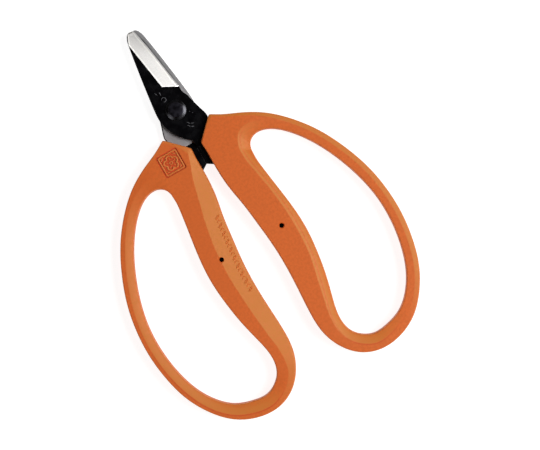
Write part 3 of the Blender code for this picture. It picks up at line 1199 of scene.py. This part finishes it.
    def face(self, shape: FaceShape, ring: Sections) -> tuple[Array, Array]:
        """Work out one face's profile on every ring.

        The height is the half thickness, less a ramp on the hole side, less a ramp on the rim
        side, less a quarter circle at both edges. Samples follow the crests, so the ridge lines
        run along the mesh.

        Args:
            shape: the face's crests and slopes.
            ring: the sections.

        Returns:
            Distance from the hole and height, one row for each ring.
        """
        width, fillet, edge = ring.width, self.crest_fillet, ring.read(self.edge_radius)
        hole_crest, rim_crest = self.crests(shape, ring)
        breaks = (
            0 * width, edge, hole_crest - fillet, hole_crest + fillet,
            width - rim_crest - fillet, width - rim_crest + fillet, width - edge, width,
        )
        arc = np.linspace(0, np.pi / 2, 6)
        flats = (np.linspace(0, 1, count) for count in (12, 5, 8, 5, 8))
        parts = (1 - np.cos(arc), *flats, np.sin(arc))
        place = np.hstack([
            low + (high - low) * part[(0 if number == 0 else 1):]
            for number, (low, high, part) in enumerate(zip(breaks, breaks[1:], parts))
        ])
        hole_fall = ramp(hole_crest - place, fillet)
        height = (
            ring.read(self.half_thickness)
            - ring.read(shape.hole_slope) * hole_fall
            - ring.read(shape.hole_curve) * hole_fall**2
            - ring.read(shape.rim_slope) * ramp(place - (width - rim_crest), fillet)
        )
        for inset in (place, width - place):
            near = np.clip(1 - inset / edge, 0, 1)
            height = height - edge * (1 - np.sqrt(1 - near**2))
        return place, height

    def wall(self, top: Array, bottom: Array) -> tuple[Array, Array]:
        """Work out a side wall: a slight bulge with the mould's parting line at mid height.

        Args:
            top: height of the wall's upper end on each ring, as a column.
            bottom: height of its lower end.

        Returns:
            How far the wall stands out, and its heights, from top to bottom.
        """
        above = np.array([0.2, 0.45, 0.7, 0.9])
        line = np.array([0.14, 0.07, 0.0, -0.07, -0.14])
        upper = top + (line[0] - top) * above
        lower = bottom + (line[-1] - bottom) * above[::-1]
        height = np.hstack([upper, line + 0 * top, lower])
        reach = height / np.where(height > 0, top, bottom)
        bulge = self.wall_bulge * (1 - reach**2)
        return bulge + self.parting_height * np.exp(-((height / 0.06) ** 2)), height

    def surface(self) -> tuple[Array, dict[str, Array]]:
        """Work out the whole handle: ridged face, rim wall, plain face and hole wall.

        Returns:
            Points (rings, samples, 3) in millimetres, and the edge and tone values of each.
        """
        ring = self.sections()
        front_place, front = self.face(self.ridged, ring)
        back_place, back = self.face(self.plain, ring)
        rim_out, rim_height = self.wall(front[:, -1:], -back[:, -1:])
        hole_out, hole_height = self.wall(front[:, :1], -back[:, :1])
        place = np.hstack(
            [front_place, ring.width + rim_out, back_place[:, ::-1], -hole_out[:, ::-1]]
        )
        height = np.hstack([front, rim_height, -back[:, ::-1], hole_height[:, ::-1]])
        plan = ring.hole[:, None] + ring.along[:, None] * place[..., None]
        values = {}
        # Edge values paint a pale highlight on edges and crests; tone values paint light on the
        # sloping facets and shade along the crease.
        for name, rule, on_wall in (("edge", self.wear, 0.05), ("tone", self.tone, 0.0)):
            side = np.full_like(rim_out, on_wall)
            values[name] = np.hstack([
                rule(self.ridged, ring, front_place), side,
                rule(self.plain, ring, back_place)[:, ::-1], side,
            ])
        return np.concatenate([plan, height[..., None]], axis=-1), values

    def _complete(
        self, piece: bpy.types.Object, half: Half, finishes: Finishes, node: str | None = None
    ) -> None:
        """Dress a moulded piece and put it on its half."""
        finishes.complete(piece, ("orange_moulding",), half.body, node)

    def build(self, half: Half, finishes: Finishes) -> None:
        """Make one handle, cut its pin hole and emblem panel, and dress it.

        Args:
            half: the half that the handle belongs to.
            finishes: the tool's finishes.
        """
        points, values = self.surface()
        quads = grid_quads(*points.shape[:2], True, True)
        mesh = half_mesh(f"{half.value}_handle_moulding", half, points, quads, values)
        piece = add_piece(mesh, self.sharp_angle)
        self._cut(piece, half)
        # Painted shade: the emblem recess is darkened in its colour.
        store_values(piece.data, "painted_shade", self._sunk(piece.data, half))
        self._complete(piece, half, finishes, f"{half.value}_handle")

    def _sunk(self, mesh: bpy.types.Mesh, half: Half) -> Array:
        """Return 1 on the emblem panel's floor and walls, from the places of the points.

        The value paints shade into the recess.

        Args:
            mesh: the cut handle.
            half: the half that it belongs to.

        Returns:
            One value for each point.
        """
        place = np.empty(len(mesh.vertices) * 3, dtype=np.float32)
        mesh.vertices.foreach_get("co", place)
        place = place.reshape(-1, 3)
        turn = 1.0 if half is Half.LEFT else -1.0
        flat = place[:, :2] / MM * np.array([turn, 1.0]) - np.array(self.panel_centre)
        level = (place[:, 2] - middle_height()) / MM * turn
        slack = 0.02
        inside = np.abs(flat).max(axis=1) < self.panel_half_side + slack
        below = level < self.face_level - slack
        return (inside & below & (level > self.panel_floor - slack)).astype(np.float32)

    def _cut(self, piece: bpy.types.Object, half: Half) -> None:
        """Cut the pin hole and the emblem panel, and keep the cut mesh.

        Args:
            piece: the handle.
            half: the half that it belongs to.
        """
        tools = (self._pin_cutter(half), self._panel_cutter(half))
        for tool in tools:
            modifier = piece.modifiers.new(tool.name, "BOOLEAN")
            modifier.operation = "DIFFERENCE"
            modifier.object = tool
            modifier.solver = "EXACT"
        graph = bpy.context.evaluated_depsgraph_get()
        cut = bpy.data.meshes.new_from_object(piece.evaluated_get(graph))
        cut.name = piece.data.name
        piece.modifiers.clear()
        piece.data = cut
        cut.set_sharp_from_angle(angle=math.radians(self.sharp_angle))
        for tool in tools:
            bpy.data.objects.remove(tool, do_unlink=True)

    def _pin_cutter(self, half: Half) -> bpy.types.Object:
        """Make the round bar that cuts the pin hole, with a small flare at both faces.

        Args:
            half: the half that it cuts.

        Returns:
            The bar.
        """
        x, y, radius = self.pin_hole
        flare = radius + 1.3
        profile = np.array(
            [(0, -6), (flare, -6), (radius, -4.7), (radius, 4.7), (flare, 6), (0, 6)],
            dtype=float,
        )
        return add_piece(lathe("pin_cutter", half, profile, 40, (x, y)), 30.0)

    def panel_path(self, inset: float, steps: int = 10) -> Array:
        """Return the rounded square of the emblem panel, drawn in by a distance.

        Args:
            inset: distance inside the panel's wall.
            steps: samples on each corner.

        Returns:
            Rows of x and y.
        """
        side = self.panel_half_side - inset
        turn = max(self.panel_corner - inset * 0.5, 0.3)
        corners = ((side, -side, turn), (side, side, turn), (-side, side, turn),
                   (-side, -side, turn))
        return rounded(corners, steps) + np.array(self.panel_centre)

    def _panel_cutter(self, half: Half) -> bpy.types.Object:
        """Make the shallow block that sinks the emblem panel into the ridged face.

        Args:
            half: the half that it cuts.

        Returns:
            The block.
        """
        path = self.panel_path(0.0)
        centre = np.broadcast_to(self.panel_centre, path.shape)
        low, high = self.panel_floor, self.face_level + 1.0
        rows = ((centre, low), (path, low), (path, high), (centre, high))
        points = np.stack([np.column_stack([row, np.full(len(path), z)]) for row, z in rows])
        quads = grid_quads(4, len(path), False, True)
        return add_piece(half_mesh("panel_cutter", half, points, quads), 30.0)

    @property
    def panel_floor(self) -> float:
        """Return the level of the emblem panel's floor."""
        return self.face_level - self.panel_depth

    def build_emblem(self, half: Half, finishes: Finishes) -> None:
        """Make the emblem relief: a raised frame round an open blossom.

        The frame follows the panel's rounded square. The blossom is a line whose radius has five
        lobes, r = R (0.62 + 0.38 |cos 2.5 a|^0.6), with a button ring, a short vein in each petal
        and a curved leaf in each corner.

        Args:
            half: the half that the emblem belongs to.
            finishes: the tool's finishes.
        """
        line, thin = Bead(0.36, 0.5), Bead(0.24, 0.38)
        turn = np.linspace(0, 2 * np.pi, 150, endpoint=False)
        lobe = np.abs(np.cos(2.5 * (turn - np.pi / 2)))
        radius = self.blossom_radius * (0.62 + 0.38 * lobe**0.6)
        vein = np.linspace(1.15, 2.25, 9)
        bow = np.linspace(-0.2, 0.2, 13)
        parts = [
            line.carry(self.panel_path(0.85, 8) - self.panel_centre, True),
            line.carry(self._ray(turn, radius), True),
            thin.carry(self._ray(turn[::5], 0.62), True),
            *(thin.carry(self._ray(np.full(9, np.pi / 2 + petal * 2 * np.pi / 5), vein), False)
              for petal in range(5)),
            *(thin.carry(self._ray(np.pi / 4 + corner * np.pi / 2 + bow, 4.05), False)
              for corner in range(4)),
        ]
        points, quads = gather(parts)
        points += np.array([*self.panel_centre, self.panel_floor])
        # The relief's edge value paints its raised lines pale, a painted highlight; it takes no
        # painted shade or facet light.
        values = {"edge": 0.9, "painted_shade": 0.0, "tone": 0.0}
        mesh = half_mesh(f"{half.value}_emblem_relief", half, points, quads, values)
        self._complete(add_piece(mesh, 60.0), half, finishes)

    @staticmethod
    def _ray(turn: Array, radius: Array | float) -> Array:
        """Return points at the given angles and distances from the emblem's middle."""
        return np.column_stack([radius * np.cos(turn), radius * np.sin(turn)])

    def build_marks(self, half: Half, finishes: Finishes) -> None:
        """Make the row of small raised grip marks along the stem's sloping facet.

        Slanted leaves and chevrons alternate. Each is a bead in the facet's own frame:
        across the stem, along the stem and out of the facet.

        Args:
            half: the half that the marks belong to.
            finishes: the tool's finishes.
        """
        ring = self.sections()
        rim = ring.rim
        stem = (ring.station > 1) & (ring.station < 8)
        order = np.flatnonzero(stem)[np.argsort(rim[stem][:, 1])]
        wanted = np.linspace(self.mark_first, self.mark_last, self.mark_count)
        picks = order[np.searchsorted(rim[order][:, 1], wanted)]
        slope, crest, high = (
            ring.read(keys)[picks]
            for keys in (self.ridged.rim_slope, self.ridged.rim_crest, self.half_thickness)
        )
        across = np.hstack([ring.along[picks], -slope])
        across /= np.linalg.norm(across, axis=1, keepdims=True)
        forward = np.hstack([-across[:, 1:2], across[:, :1], 0 * slope])
        forward /= np.linalg.norm(forward, axis=1, keepdims=True)
        basis = np.stack([across, forward, np.cross(across, forward)], axis=1)
        plan = rim[picks] - ring.along[picks] * self.mark_inset
        origin = np.hstack([plan, high - slope * (crest - self.mark_inset)])
        sweep = np.linspace(-1.1, 1.1, 13)
        turn = np.linspace(0, 2 * np.pi, 16, endpoint=False)
        cos, sin = np.cos(turn), np.sin(turn)
        bead = Bead(0.2, 0.18)
        chevron = bead.carry(np.column_stack([sweep, 0.55 - 0.9 * np.abs(sweep)]), False)
        leaf = bead.carry(np.column_stack([0.95 * cos + 0.25 * sin, 0.45 * sin + 0.4 * cos]), True)
        parts = []
        for number in range(self.mark_count):
            flat, quads = chevron if number % 2 else leaf
            parts.append((origin[number] + flat @ basis[number], quads))
        # The marks take part of the facet's painted light, a little painted shade and a faint
        # painted highlight.
        values = {"edge": 0.3, "painted_shade": 0.12, "tone": 0.55}
        mesh = half_mesh(f"{half.value}_stem_marks", half, *gather(parts), values)
        self._complete(add_piece(mesh, 50.0), half, finishes)


# ---------------------------------------------------------------------------------------------
# Blades
# ---------------------------------------------------------------------------------------------


@dataclass
class SnipBlade:
    """One blade: a stack of cross-sections from the tip to the end of its tang.

    The spine side and the edge side are two outlines that both fall steadily in y, so each
    cross-section lies at one y and runs from one outline to the other.
    """

    spine_side: tuple[tuple[tuple[float, float], ...], ...] = (
        ((0.3, 37.5), (1.2, 37.4), (2.1, 36.9), (2.9, 35.8), (3.9, 32.5), (5.7, 21.0),
         (7.2, 10.0), (8.1, 2.0), (7.9, -2.0), (6.7, -6.0), (4.3, -10.2), (1.2, -13.4),
         (-0.005, -14.1)),
        ((-0.005, -14.1), (-0.005, -25.4)),
        ((-0.005, -25.4), (-2.6, -27.1), (-5.6, -29.4), (-7.3, -34.0)),
        ((-7.3, -34.0), (-9.0, -46.0), (-10.9, -58.0), (-11.5, -65.0), (-14.2, -68.0)),
    )
    edge_side: tuple[tuple[tuple[float, float], ...], ...] = (
        ((0.3, 37.5), (-0.5, 37.4), (-1.0, 36.9)),
        ((-1.0, 36.9), (-2.9, 28.0), (-4.6, 17.0), (-5.95, 8.2)),
        ((-5.95, 8.2), (-6.0, 6.2), (-6.4, 4.7)),
        ((-6.4, 4.7), (-7.2, 3.0), (-8.3, -1.2), (-9.2, -4.2), (-9.8, -6.0), (-10.15, -7.8),
         (-10.0, -9.3)),
        ((-10.0, -9.3), (-11.4, -20.0), (-13.2, -33.0), (-15.2, -46.0), (-16.8, -58.0),
         (-16.9, -65.0), (-14.2, -68.0)),
    )
    inner_level: float = -0.15
    thickness: float = 2.2
    edge_radius: float = 0.14
    land: float = 0.10
    # Width of the band of painted highlight along the bevel's borders.
    border: float = 0.36
    hone_width: float = 0.42
    hone_rise: float = 0.34
    tip_sliver: float = 0.4
    sliver_start: float = 32.0
    sliver_length: float = 2.5
    border_top: float = 37.45
    hollow_depth: float = 0.24
    hollow_ramp: float = 0.5
    hollow_rim: float = 1.3
    hollow_top: float = 34.0
    hollow_bottom: float = 10.0
    shoulder_low: tuple[float, float] = (0.4, 11.8)
    shoulder_high: tuple[float, float] = (3.7, 32.5)
    runout_inner: tuple[float, float] = (0.25, 11.0)
    runout_outer: tuple[float, float] = (-5.9, 8.0)
    runout_width: float = 0.28
    crank_start: float = 14.8
    crank_length: float = 3.2
    crank_rise: float = 1.25
    stamp_bars: tuple[tuple[tuple[tuple[float, float], ...], int], ...] = (
        (((2.35, 8.2), (2.5, 10.0)), 6), (((4.3, 10.4), (3.6, 9.0)), 6),
        (((-1.4, -6.4), (-2.3, -7.6)), 6), (((-2.3, -7.6), (-4.0, -8.3)), 6),
        (((-1.0, -7.6), (-1.8, -8.8)), 6), (((-1.8, -8.8), (-3.4, -9.5)), 6),
        (((-4.4, -3.0), (-4.7, -3.3)), 4), (((-5.4, -4.0), (-5.7, -4.3)), 4),
    )

    def levels(self) -> Array:
        """Return the y of every cross-section, closer together where the outline turns.

        Returns:
            Levels from the tip down.
        """
        spans = (
            37.5 - 0.9 * (1 - np.cos(np.linspace(0, np.pi / 2, 16))) - 0.004,
            np.linspace(36.6, 11.3, 110),
            np.linspace(11.2, 4.6, 45),
            np.linspace(4.4, -13.4, 80),
            np.linspace(-13.5, -18.1, 30),
            np.linspace(-18.5, -25.3, 14),
            np.linspace(-25.41, -30.0, 20),
            np.linspace(-31.0, -66.0, 30),
            np.array([-66.8, -67.4, -67.8, -67.98]),
        )
        return np.concatenate(spans)

    @staticmethod
    def _outline(runs: tuple[tuple[tuple[float, float], ...], ...], level: Array) -> Array:
        """Return an outline's x at each y.

        Args:
            runs: smooth runs of points, from the tip down.
            level: the places.

        Returns:
            x at each place.
        """
        curve = np.vstack([smooth_run(run) for run in runs])
        falling = np.minimum.accumulate(curve[:, 1])
        return np.interp(-level, -falling, curve[:, 0])

    def surface(self) -> tuple[Array, Array, Array]:
        """Work out the blade.

        The outer face is flat from the spine to the grinding's shoulder, then falls evenly to
        the cutting edge; below the grinding it is flat to the far edge. The crank lifts the
        tang by a smooth step of the distance below the pivot.

        Returns:
            Points (sections, samples, 3), the edge value of each point, and the zone of each
            strip between samples: 0 coated, 1 ground bevel, 2 bare inner face.
        """
        y = self.levels()[:, None]
        right, left = self._outline(self.spine_side, y), self._outline(self.edge_side, y)
        (low_x, low_y), (high_x, high_y) = self.shoulder_low, self.shoulder_high
        shoulder = low_x + (y - low_y) * (high_x - low_x) / (high_y - low_y)
        (in_x, in_y), (out_x, out_y) = self.runout_inner, self.runout_outer
        runout = in_x + (y - in_y) * (out_x - in_x) / (out_y - in_y)
        ground, whole = y > out_y, y > in_y
        radius = np.minimum(self.edge_radius, (right - left) * 0.25)
        sliver = self.tip_sliver * smooth_step((y - self.sliver_start) / self.sliver_length)
        sliver = np.minimum(np.maximum(radius, sliver), (right - left) * 0.4)
        start = np.minimum(np.where(whole, shoulder, runout), right - sliver)
        start = np.maximum(start, left + 1e-4)
        hone = np.where(ground, np.minimum(self.hone_width, (start - left) * 0.3), 0.0)
        rise = self.hone_rise * hone / self.hone_width
        full_depth = self.thickness - self.land
        depth = full_depth - rise
        bevel_end = left + hone
        fall_width = np.maximum(shoulder - bevel_end, 1e-3)
        step_in = np.minimum(self.runout_width, (start - bevel_end) * 0.5)
        foot_x = np.where(whole, start, start - step_in)
        foot_share = np.clip((shoulder - foot_x) / fall_width, 0, 1)
        foot_depth = np.where(ground, depth * foot_share, 0.0)
        first = np.where(ground, start, left + radius)
        foot_x = np.where(ground, foot_x, first)
        first_share = np.clip((shoulder - start) / fall_width, 0, 1)
        first_depth = np.where(ground & whole, depth * first_share, 0.0)
        inner, outer = self.inner_level, self.inner_level - self.thickness
        arc = np.linspace(0, np.pi / 2, 5)
        spine_x = right - radius * (1 - np.sin(arc))
        spine_z = outer + radius * (1 - np.cos(arc))
        taken = depth * np.clip((shoulder - spine_x) / fall_width, 0, 1)
        spine_z = np.where(ground, np.maximum(spine_z, outer + taken), spine_z)
        part = np.linspace(0, 1, 12)[1:]
        flat_x = spine_x[:, :1] + (first - spine_x[:, :1]) * part
        flat_z = spine_z[:, :1] + (outer + first_depth - spine_z[:, :1]) * part
        part = np.append(np.linspace(0, 1, 14), (1.0, 1.0))
        bevel_x = foot_x + (bevel_end - foot_x) * part
        bevel_z = outer + foot_depth + (depth - foot_depth) * part
        bevel_x[:, -2:] = np.hstack([left + hone * 0.5, left])
        bevel_z[:, -2:] = np.hstack([outer + depth + rise * 0.5, 0 * y + outer + full_depth])
        turn = np.pi / 2 * np.linspace(0, 1, 16)
        bevel_x = np.where(ground, bevel_x, left + radius * (1 - np.sin(turn)))
        bevel_z = np.where(ground, bevel_z, outer + radius * (1 - np.cos(turn)))
        small = np.where(ground, 0.02, radius)
        left_x = left + small * (1 - np.cos(arc))
        left_z = inner - small * (1 - np.sin(arc))
        inner_x, inner_z = self._inner_face(left_x[:, -1:], right - radius, y)
        back_x = right - radius * (1 - np.sin(arc))
        back_z = inner - radius * (1 - np.cos(arc))
        x = np.hstack([spine_x[:, ::-1], flat_x, bevel_x, left_x, inner_x[:, 1:], back_x])
        z = np.hstack([spine_z[:, ::-1], flat_z, bevel_z, left_z, inner_z[:, 1:], back_z])
        lift = self.crank_rise * smooth_step((-y - self.crank_start) / self.crank_length)
        points = np.stack([x, y + 0 * x, z + lift], axis=-1)
        counts = (5, 11, 16, 5, inner_x.shape[1] - 1, 5)
        bevel = slice(sum(counts[:2]), sum(counts[:3]))
        zone = np.repeat([0, 0, 1, 0, 2, 0], counts)
        zone[bevel.stop - 3:bevel.stop] = 2
        edge = np.repeat([1.0, 0.0, 0.0, 0.3, 0.0, 1.0], counts)
        edge = edge * np.where(y > out_y - 1.5, 0.4, 0.2)
        # Painted highlight: the bevel's edge value rises along its borders, where the ground steel
        # paints it brighter.
        above = y - in_y - (bevel_x - in_x) * (out_y - in_y) / (out_x - in_x)
        near = np.minimum(bevel_x - bevel_end, foot_x - bevel_x)
        near = np.minimum(near, np.minimum(above, self.border_top - y))
        border = 1 - smooth_step((near - self.border) / 0.15)
        edge[:, bevel] = np.where(ground, border, edge[:, bevel])
        return points, edge, zone

    def _inner_face(self, low: Array, high: Array, y: Array) -> tuple[Array, Array]:
        """Work out the inner face: flat rims with a shallow ground hollow between them.

        The hollow sinks by a smooth step beside each rim, and fades out towards the tip and
        towards the pivot.

        Args:
            low: x of the face's left end on each section, as a column.
            high: x of its right end.
            y: the sections' places.

        Returns:
            x and z of the face's samples.
        """
        width = high - low
        rim = np.minimum(self.hollow_rim, width * 0.3)
        slope = np.minimum(self.hollow_ramp, width * 0.1)
        knots = (low, low + rim, low + rim + slope, high - rim - slope, high - rim, high)
        parts = [
            start + (end - start) * np.linspace(0, 1, count + 1)[1:]
            for start, end, count in zip(knots, knots[1:], (4, 6, 8, 6, 4))
        ]
        x = np.hstack([low, *parts])
        fade = smooth_step((self.hollow_top - y) / 3.0)
        fade = fade * smooth_step((y - self.hollow_bottom) / 3.0)
        left_wall = smooth_step((x - (low + rim)) / slope)
        right_wall = smooth_step(((high - rim) - x) / slope)
        return x, self.inner_level - self.hollow_depth * fade * left_wall * right_wall

    def build(self, half: Half, finishes: Finishes) -> None:
        """Make one blade and dress its coated, ground and bare zones.

        Args:
            half: the half that the blade belongs to.
            finishes: the tool's finishes.
        """
        points, edge, zone = self.surface()
        columns = points.shape[1]
        caps = np.repeat(points[[0, -1]].mean(axis=1, keepdims=True), columns, axis=1)
        points = np.concatenate([caps[:1], points, caps[1:]])
        edge = np.concatenate([edge[:1], edge, edge[-1:]])
        quads = grid_quads(len(points), columns, False, True)
        row, column = np.divmod(np.arange(len(quads)), columns)
        y, strip = points[row, 0, 1], zone[column]
        strip = np.where((strip == 1) & (y < self.runout_outer[1]), 0, strip)
        strip = np.where((strip == 2) & (y < -self.crank_start), 0, strip)
        name = f"{half.blade}_blade_forging"
        mesh = half_mesh(name, half, points, quads, {"edge": edge}, strip)
        names = ("black_coating", f"ground_bevel_{half.blade}", "bare_inner_face")
        finishes.complete(
            add_piece(mesh, 28.0), names, half.body, f"{half.blade}_blade"
        )

    def build_stamps(self, half: Half, finishes: Finishes) -> None:
        """Make the small stamped signs on the coated face: a ring, bars, chevrons and dots.

        Each sign is a low half-round bead carried along a short path.

        Args:
            half: the half that the signs belong to.
            finishes: the tool's finishes.
        """
        turn = np.linspace(0.3, 2 * np.pi - 0.9, 28)
        ring = np.column_stack([2.3 + 0.95 * np.cos(turn), 6.2 + 0.95 * np.sin(turn)])
        bead = Bead(0.15, 0.03, 0.05)
        points, quads = gather(
            [bead.carry(ring, False)]
            + [bead.carry(smooth_run(ends, steps), False) for ends, steps in self.stamp_bars]
        )
        points[:, 2] = self.inner_level - self.thickness - points[:, 2]
        mesh = half_mesh(f"{half.blade}_blade_stamps", half, points, quads, {"edge": 0.3})
        finishes.complete(add_piece(mesh, 60.0), ("stamp_steel",), half.body)


# ---------------------------------------------------------------------------------------------
# Pivot
# ---------------------------------------------------------------------------------------------


@dataclass
class Pivot:
    """The rivet and its two dished washers, turned about the pivot axis."""

    shank_radius: float = 2.2
    head_radius: float = 3.15
    head_top: float = 5.0
    washer_inner: float = 2.3
    washer_top_radius: float = 3.0
    washer_radius: float = 4.3
    washer_low: float = 2.37
    washer_high: float = 3.4
    washer_rim: float = 2.92
    turns: int = 128

    def build(self, finishes: Finishes) -> None:
        """Make the rivet and both washers, which ride on the left half.

        Args:
            finishes: the tool's finishes.
        """
        rivet, washer = self._rivet(), self._washer()
        for name, half, profile, node, slot in (
            ("pivot_rivet_turned", Half.LEFT, rivet, "pivot_rivet", "rivet"),
            ("front_washer_dished", Half.LEFT, washer, "front_washer", "washer"),
            ("rear_washer_dished", Half.RIGHT, washer, "rear_washer", "washer"),
        ):
            mesh = lathe(name, half, profile, self.turns, values={"edge": 0.2})
            piece = add_piece(mesh, 35.0)
            finishes.complete(piece, (f"{slot}_steel",), Half.LEFT.body, node)

    def _rivet(self) -> Array:
        """Return the rivet's profile: domed heads with rounded edges on a plain shank.

        Returns:
            Rows of radius and height.
        """
        top, under = self.head_top, self.washer_high + 0.02
        upper = (
            (self.shank_radius, under, 0.0), (self.head_radius, under, 0.12),
            (self.head_radius, top - 0.03, 0.34), (1.2, top, 0.5), (0.0, top, 0.0),
        )
        lower = tuple((r, -z, size) for r, z, size in reversed(upper))
        return np.maximum(rounded((*lower, *upper), 7), (0.0, -np.inf))

    def _washer(self) -> Array:
        """Return a washer's profile: a flat seat and a cone that falls to a thin round rim.

        Returns:
            Rows of radius and height.
        """
        return rounded((
            (self.washer_inner, self.washer_low, 0.0),
            (self.washer_radius, self.washer_low, 0.05),
            (self.washer_radius, self.washer_rim, 0.14),
            (self.washer_top_radius, self.washer_high, 0.2),
            (self.washer_inner, self.washer_high, 0.0),
        ), 6)


# ---------------------------------------------------------------------------------------------
# Studio
# ---------------------------------------------------------------------------------------------


@dataclass(frozen=True)
class SoftLight:
    """A square area light that looks at the middle of the tool.

    The azimuth is measured in the view's plane from its right, and the tilt from straight
    above, both in degrees. Distance and size are in metres and power in watts.
    """

    name: str
    azimuth: float
    tilt: float
    distance: float
    size: float
    power: float

    def build(self, aim: Vector, roll: float) -> None:
        """Add the light.

        Args:
            aim: the point that it looks at.
            roll: how far the view is turned, in degrees.
        """
        data = bpy.data.lights.new(self.name, "AREA")
        data.shape = "SQUARE"
        data.size = self.size
        data.energy = self.power
        turn, lean = math.radians(self.azimuth + roll), math.radians(self.tilt)
        away = Vector(
            (math.sin(lean) * math.cos(turn), math.sin(lean) * math.sin(turn), math.cos(lean))
        )
        light = bpy.data.objects.new(self.name, data)
        light.location = aim + away * self.distance
        light.rotation_euler = away.to_track_quat("Z", "Y").to_euler()
        bpy.context.scene.collection.objects.link(light)


@dataclass
class Studio:
    """Plain pale floor, soft lights and the camera above the tool."""

    roll: float = -29.76
    view_width: float = 223.1
    view_centre: tuple[float, float] = (10.15, -60.325)
    lens: float = 150.0
    sensor: float = 36.0
    floor_size: float = 3.0
    floor_drop: float = 0.0001
    floor_shade: float = 0.36
    floor_glow: float = 0.87
    glow_low: float = 0.42
    glow_high: float = 0.03
    lights: tuple[SoftLight, ...] = (
        SoftLight("key", azimuth=8.0, tilt=35.0, distance=1.1, size=0.62, power=12.2),
        SoftLight("fill", azimuth=225.0, tilt=50.0, distance=1.2, size=0.5, power=2.5),
    )

    def build(self) -> None:
        """Make the floor, the world, the lights and the camera."""
        centre = Vector((self.view_centre[0] * MM, self.view_centre[1] * MM, 0.0))
        self._floor()
        self._world()
        for light in self.lights:
            light.build(centre, self.roll)
        self._camera(centre)
        scene = bpy.context.scene
        scene.view_settings.view_transform = "Standard"
        scene.view_settings.look = "None"

    def _floor(self) -> None:
        """Make the floor: pale, and bright enough to stay even under the tool."""
        half, level = self.floor_size / 2, -self.floor_drop
        corners = [(-half, -half, level), (half, -half, level), (half, half, level),
                   (-half, half, level)]
        mesh = bpy.data.meshes.new("floor")
        mesh.from_pydata(corners, [], [(0, 1, 2, 3)])
        floor = bpy.data.objects.new("floor", mesh)
        bpy.context.scene.collection.objects.link(floor)
        material, bench, shader = start_material("pale_floor")
        bench.fill(shader, {
            "Base Color": scaled((self.floor_shade,) * 3),
            "Roughness": 0.9,
            "Specular IOR Level": 0.0,
            "Emission Color": (1.0, 1.0, 1.0, 1.0),
            "Emission Strength": self.floor_glow,
        })
        mesh.materials.append(material)

    def _world(self) -> None:
        """Make the world: a dim warm glow low down for the lights, and white for the camera."""
        world = bpy.data.worlds.new("studio")
        bpy.context.scene.world = world
        world.use_nodes = True
        bench = NodeBench(world.node_tree)
        dim = world.node_tree.nodes["Background"]
        towards = bench.add("ShaderNodeTexCoord").outputs["Generated"]
        height = bench.add("ShaderNodeSeparateXYZ", {0: towards}).outputs["Z"]
        bench.fill(dim, {
            "Color": (1.0, 0.9, 0.82, 1.0),
            "Strength": bench.spread(height, 0.05, 0.55, self.glow_low, self.glow_high),
        })
        pale = bench.add("ShaderNodeBackground", {"Color": (1.0, 1.0, 1.0, 1.0)})
        seen = bench.add("ShaderNodeLightPath").outputs["Is Camera Ray"]
        mix = bench.add("ShaderNodeMixShader", {0: seen, 1: dim.outputs[0], 2: pale.outputs[0]})
        bench.fill(world.node_tree.nodes["World Output"], {"Surface": mix.outputs[0]})

    def _camera(self, centre: Vector) -> None:
        """Make the camera, looking straight down with the tool turned in the view.

        Args:
            centre: the point of the tool in the middle of the view.
        """
        data = bpy.data.cameras.new("camera")
        data.lens = self.lens
        data.sensor_width = self.sensor
        camera = bpy.data.objects.new("camera", data)
        distance = self.view_width * MM * self.lens / self.sensor
        camera.location = (centre.x, centre.y, middle_height() + distance)
        camera.rotation_euler = Euler((0.0, 0.0, math.radians(self.roll)))
        bpy.context.scene.collection.objects.link(camera)
        bpy.context.scene.camera = camera


def main() -> None:
    """Build the finishes, both halves, the pivot and the studio, in that order."""
    logging.basicConfig(level=logging.INFO, format="%(message)s")
    finishes = Finishes()
    handle, blade = LoopHandle(), SnipBlade()
    for half in Half:
        blade.build(half, finishes)
        blade.build_stamps(half, finishes)
        handle.build(half, finishes)
        handle.build_emblem(half, finishes)
        handle.build_marks(half, finishes)
    Pivot().build(finishes)
    Studio().build()


if __name__ == "__main__":
    main()
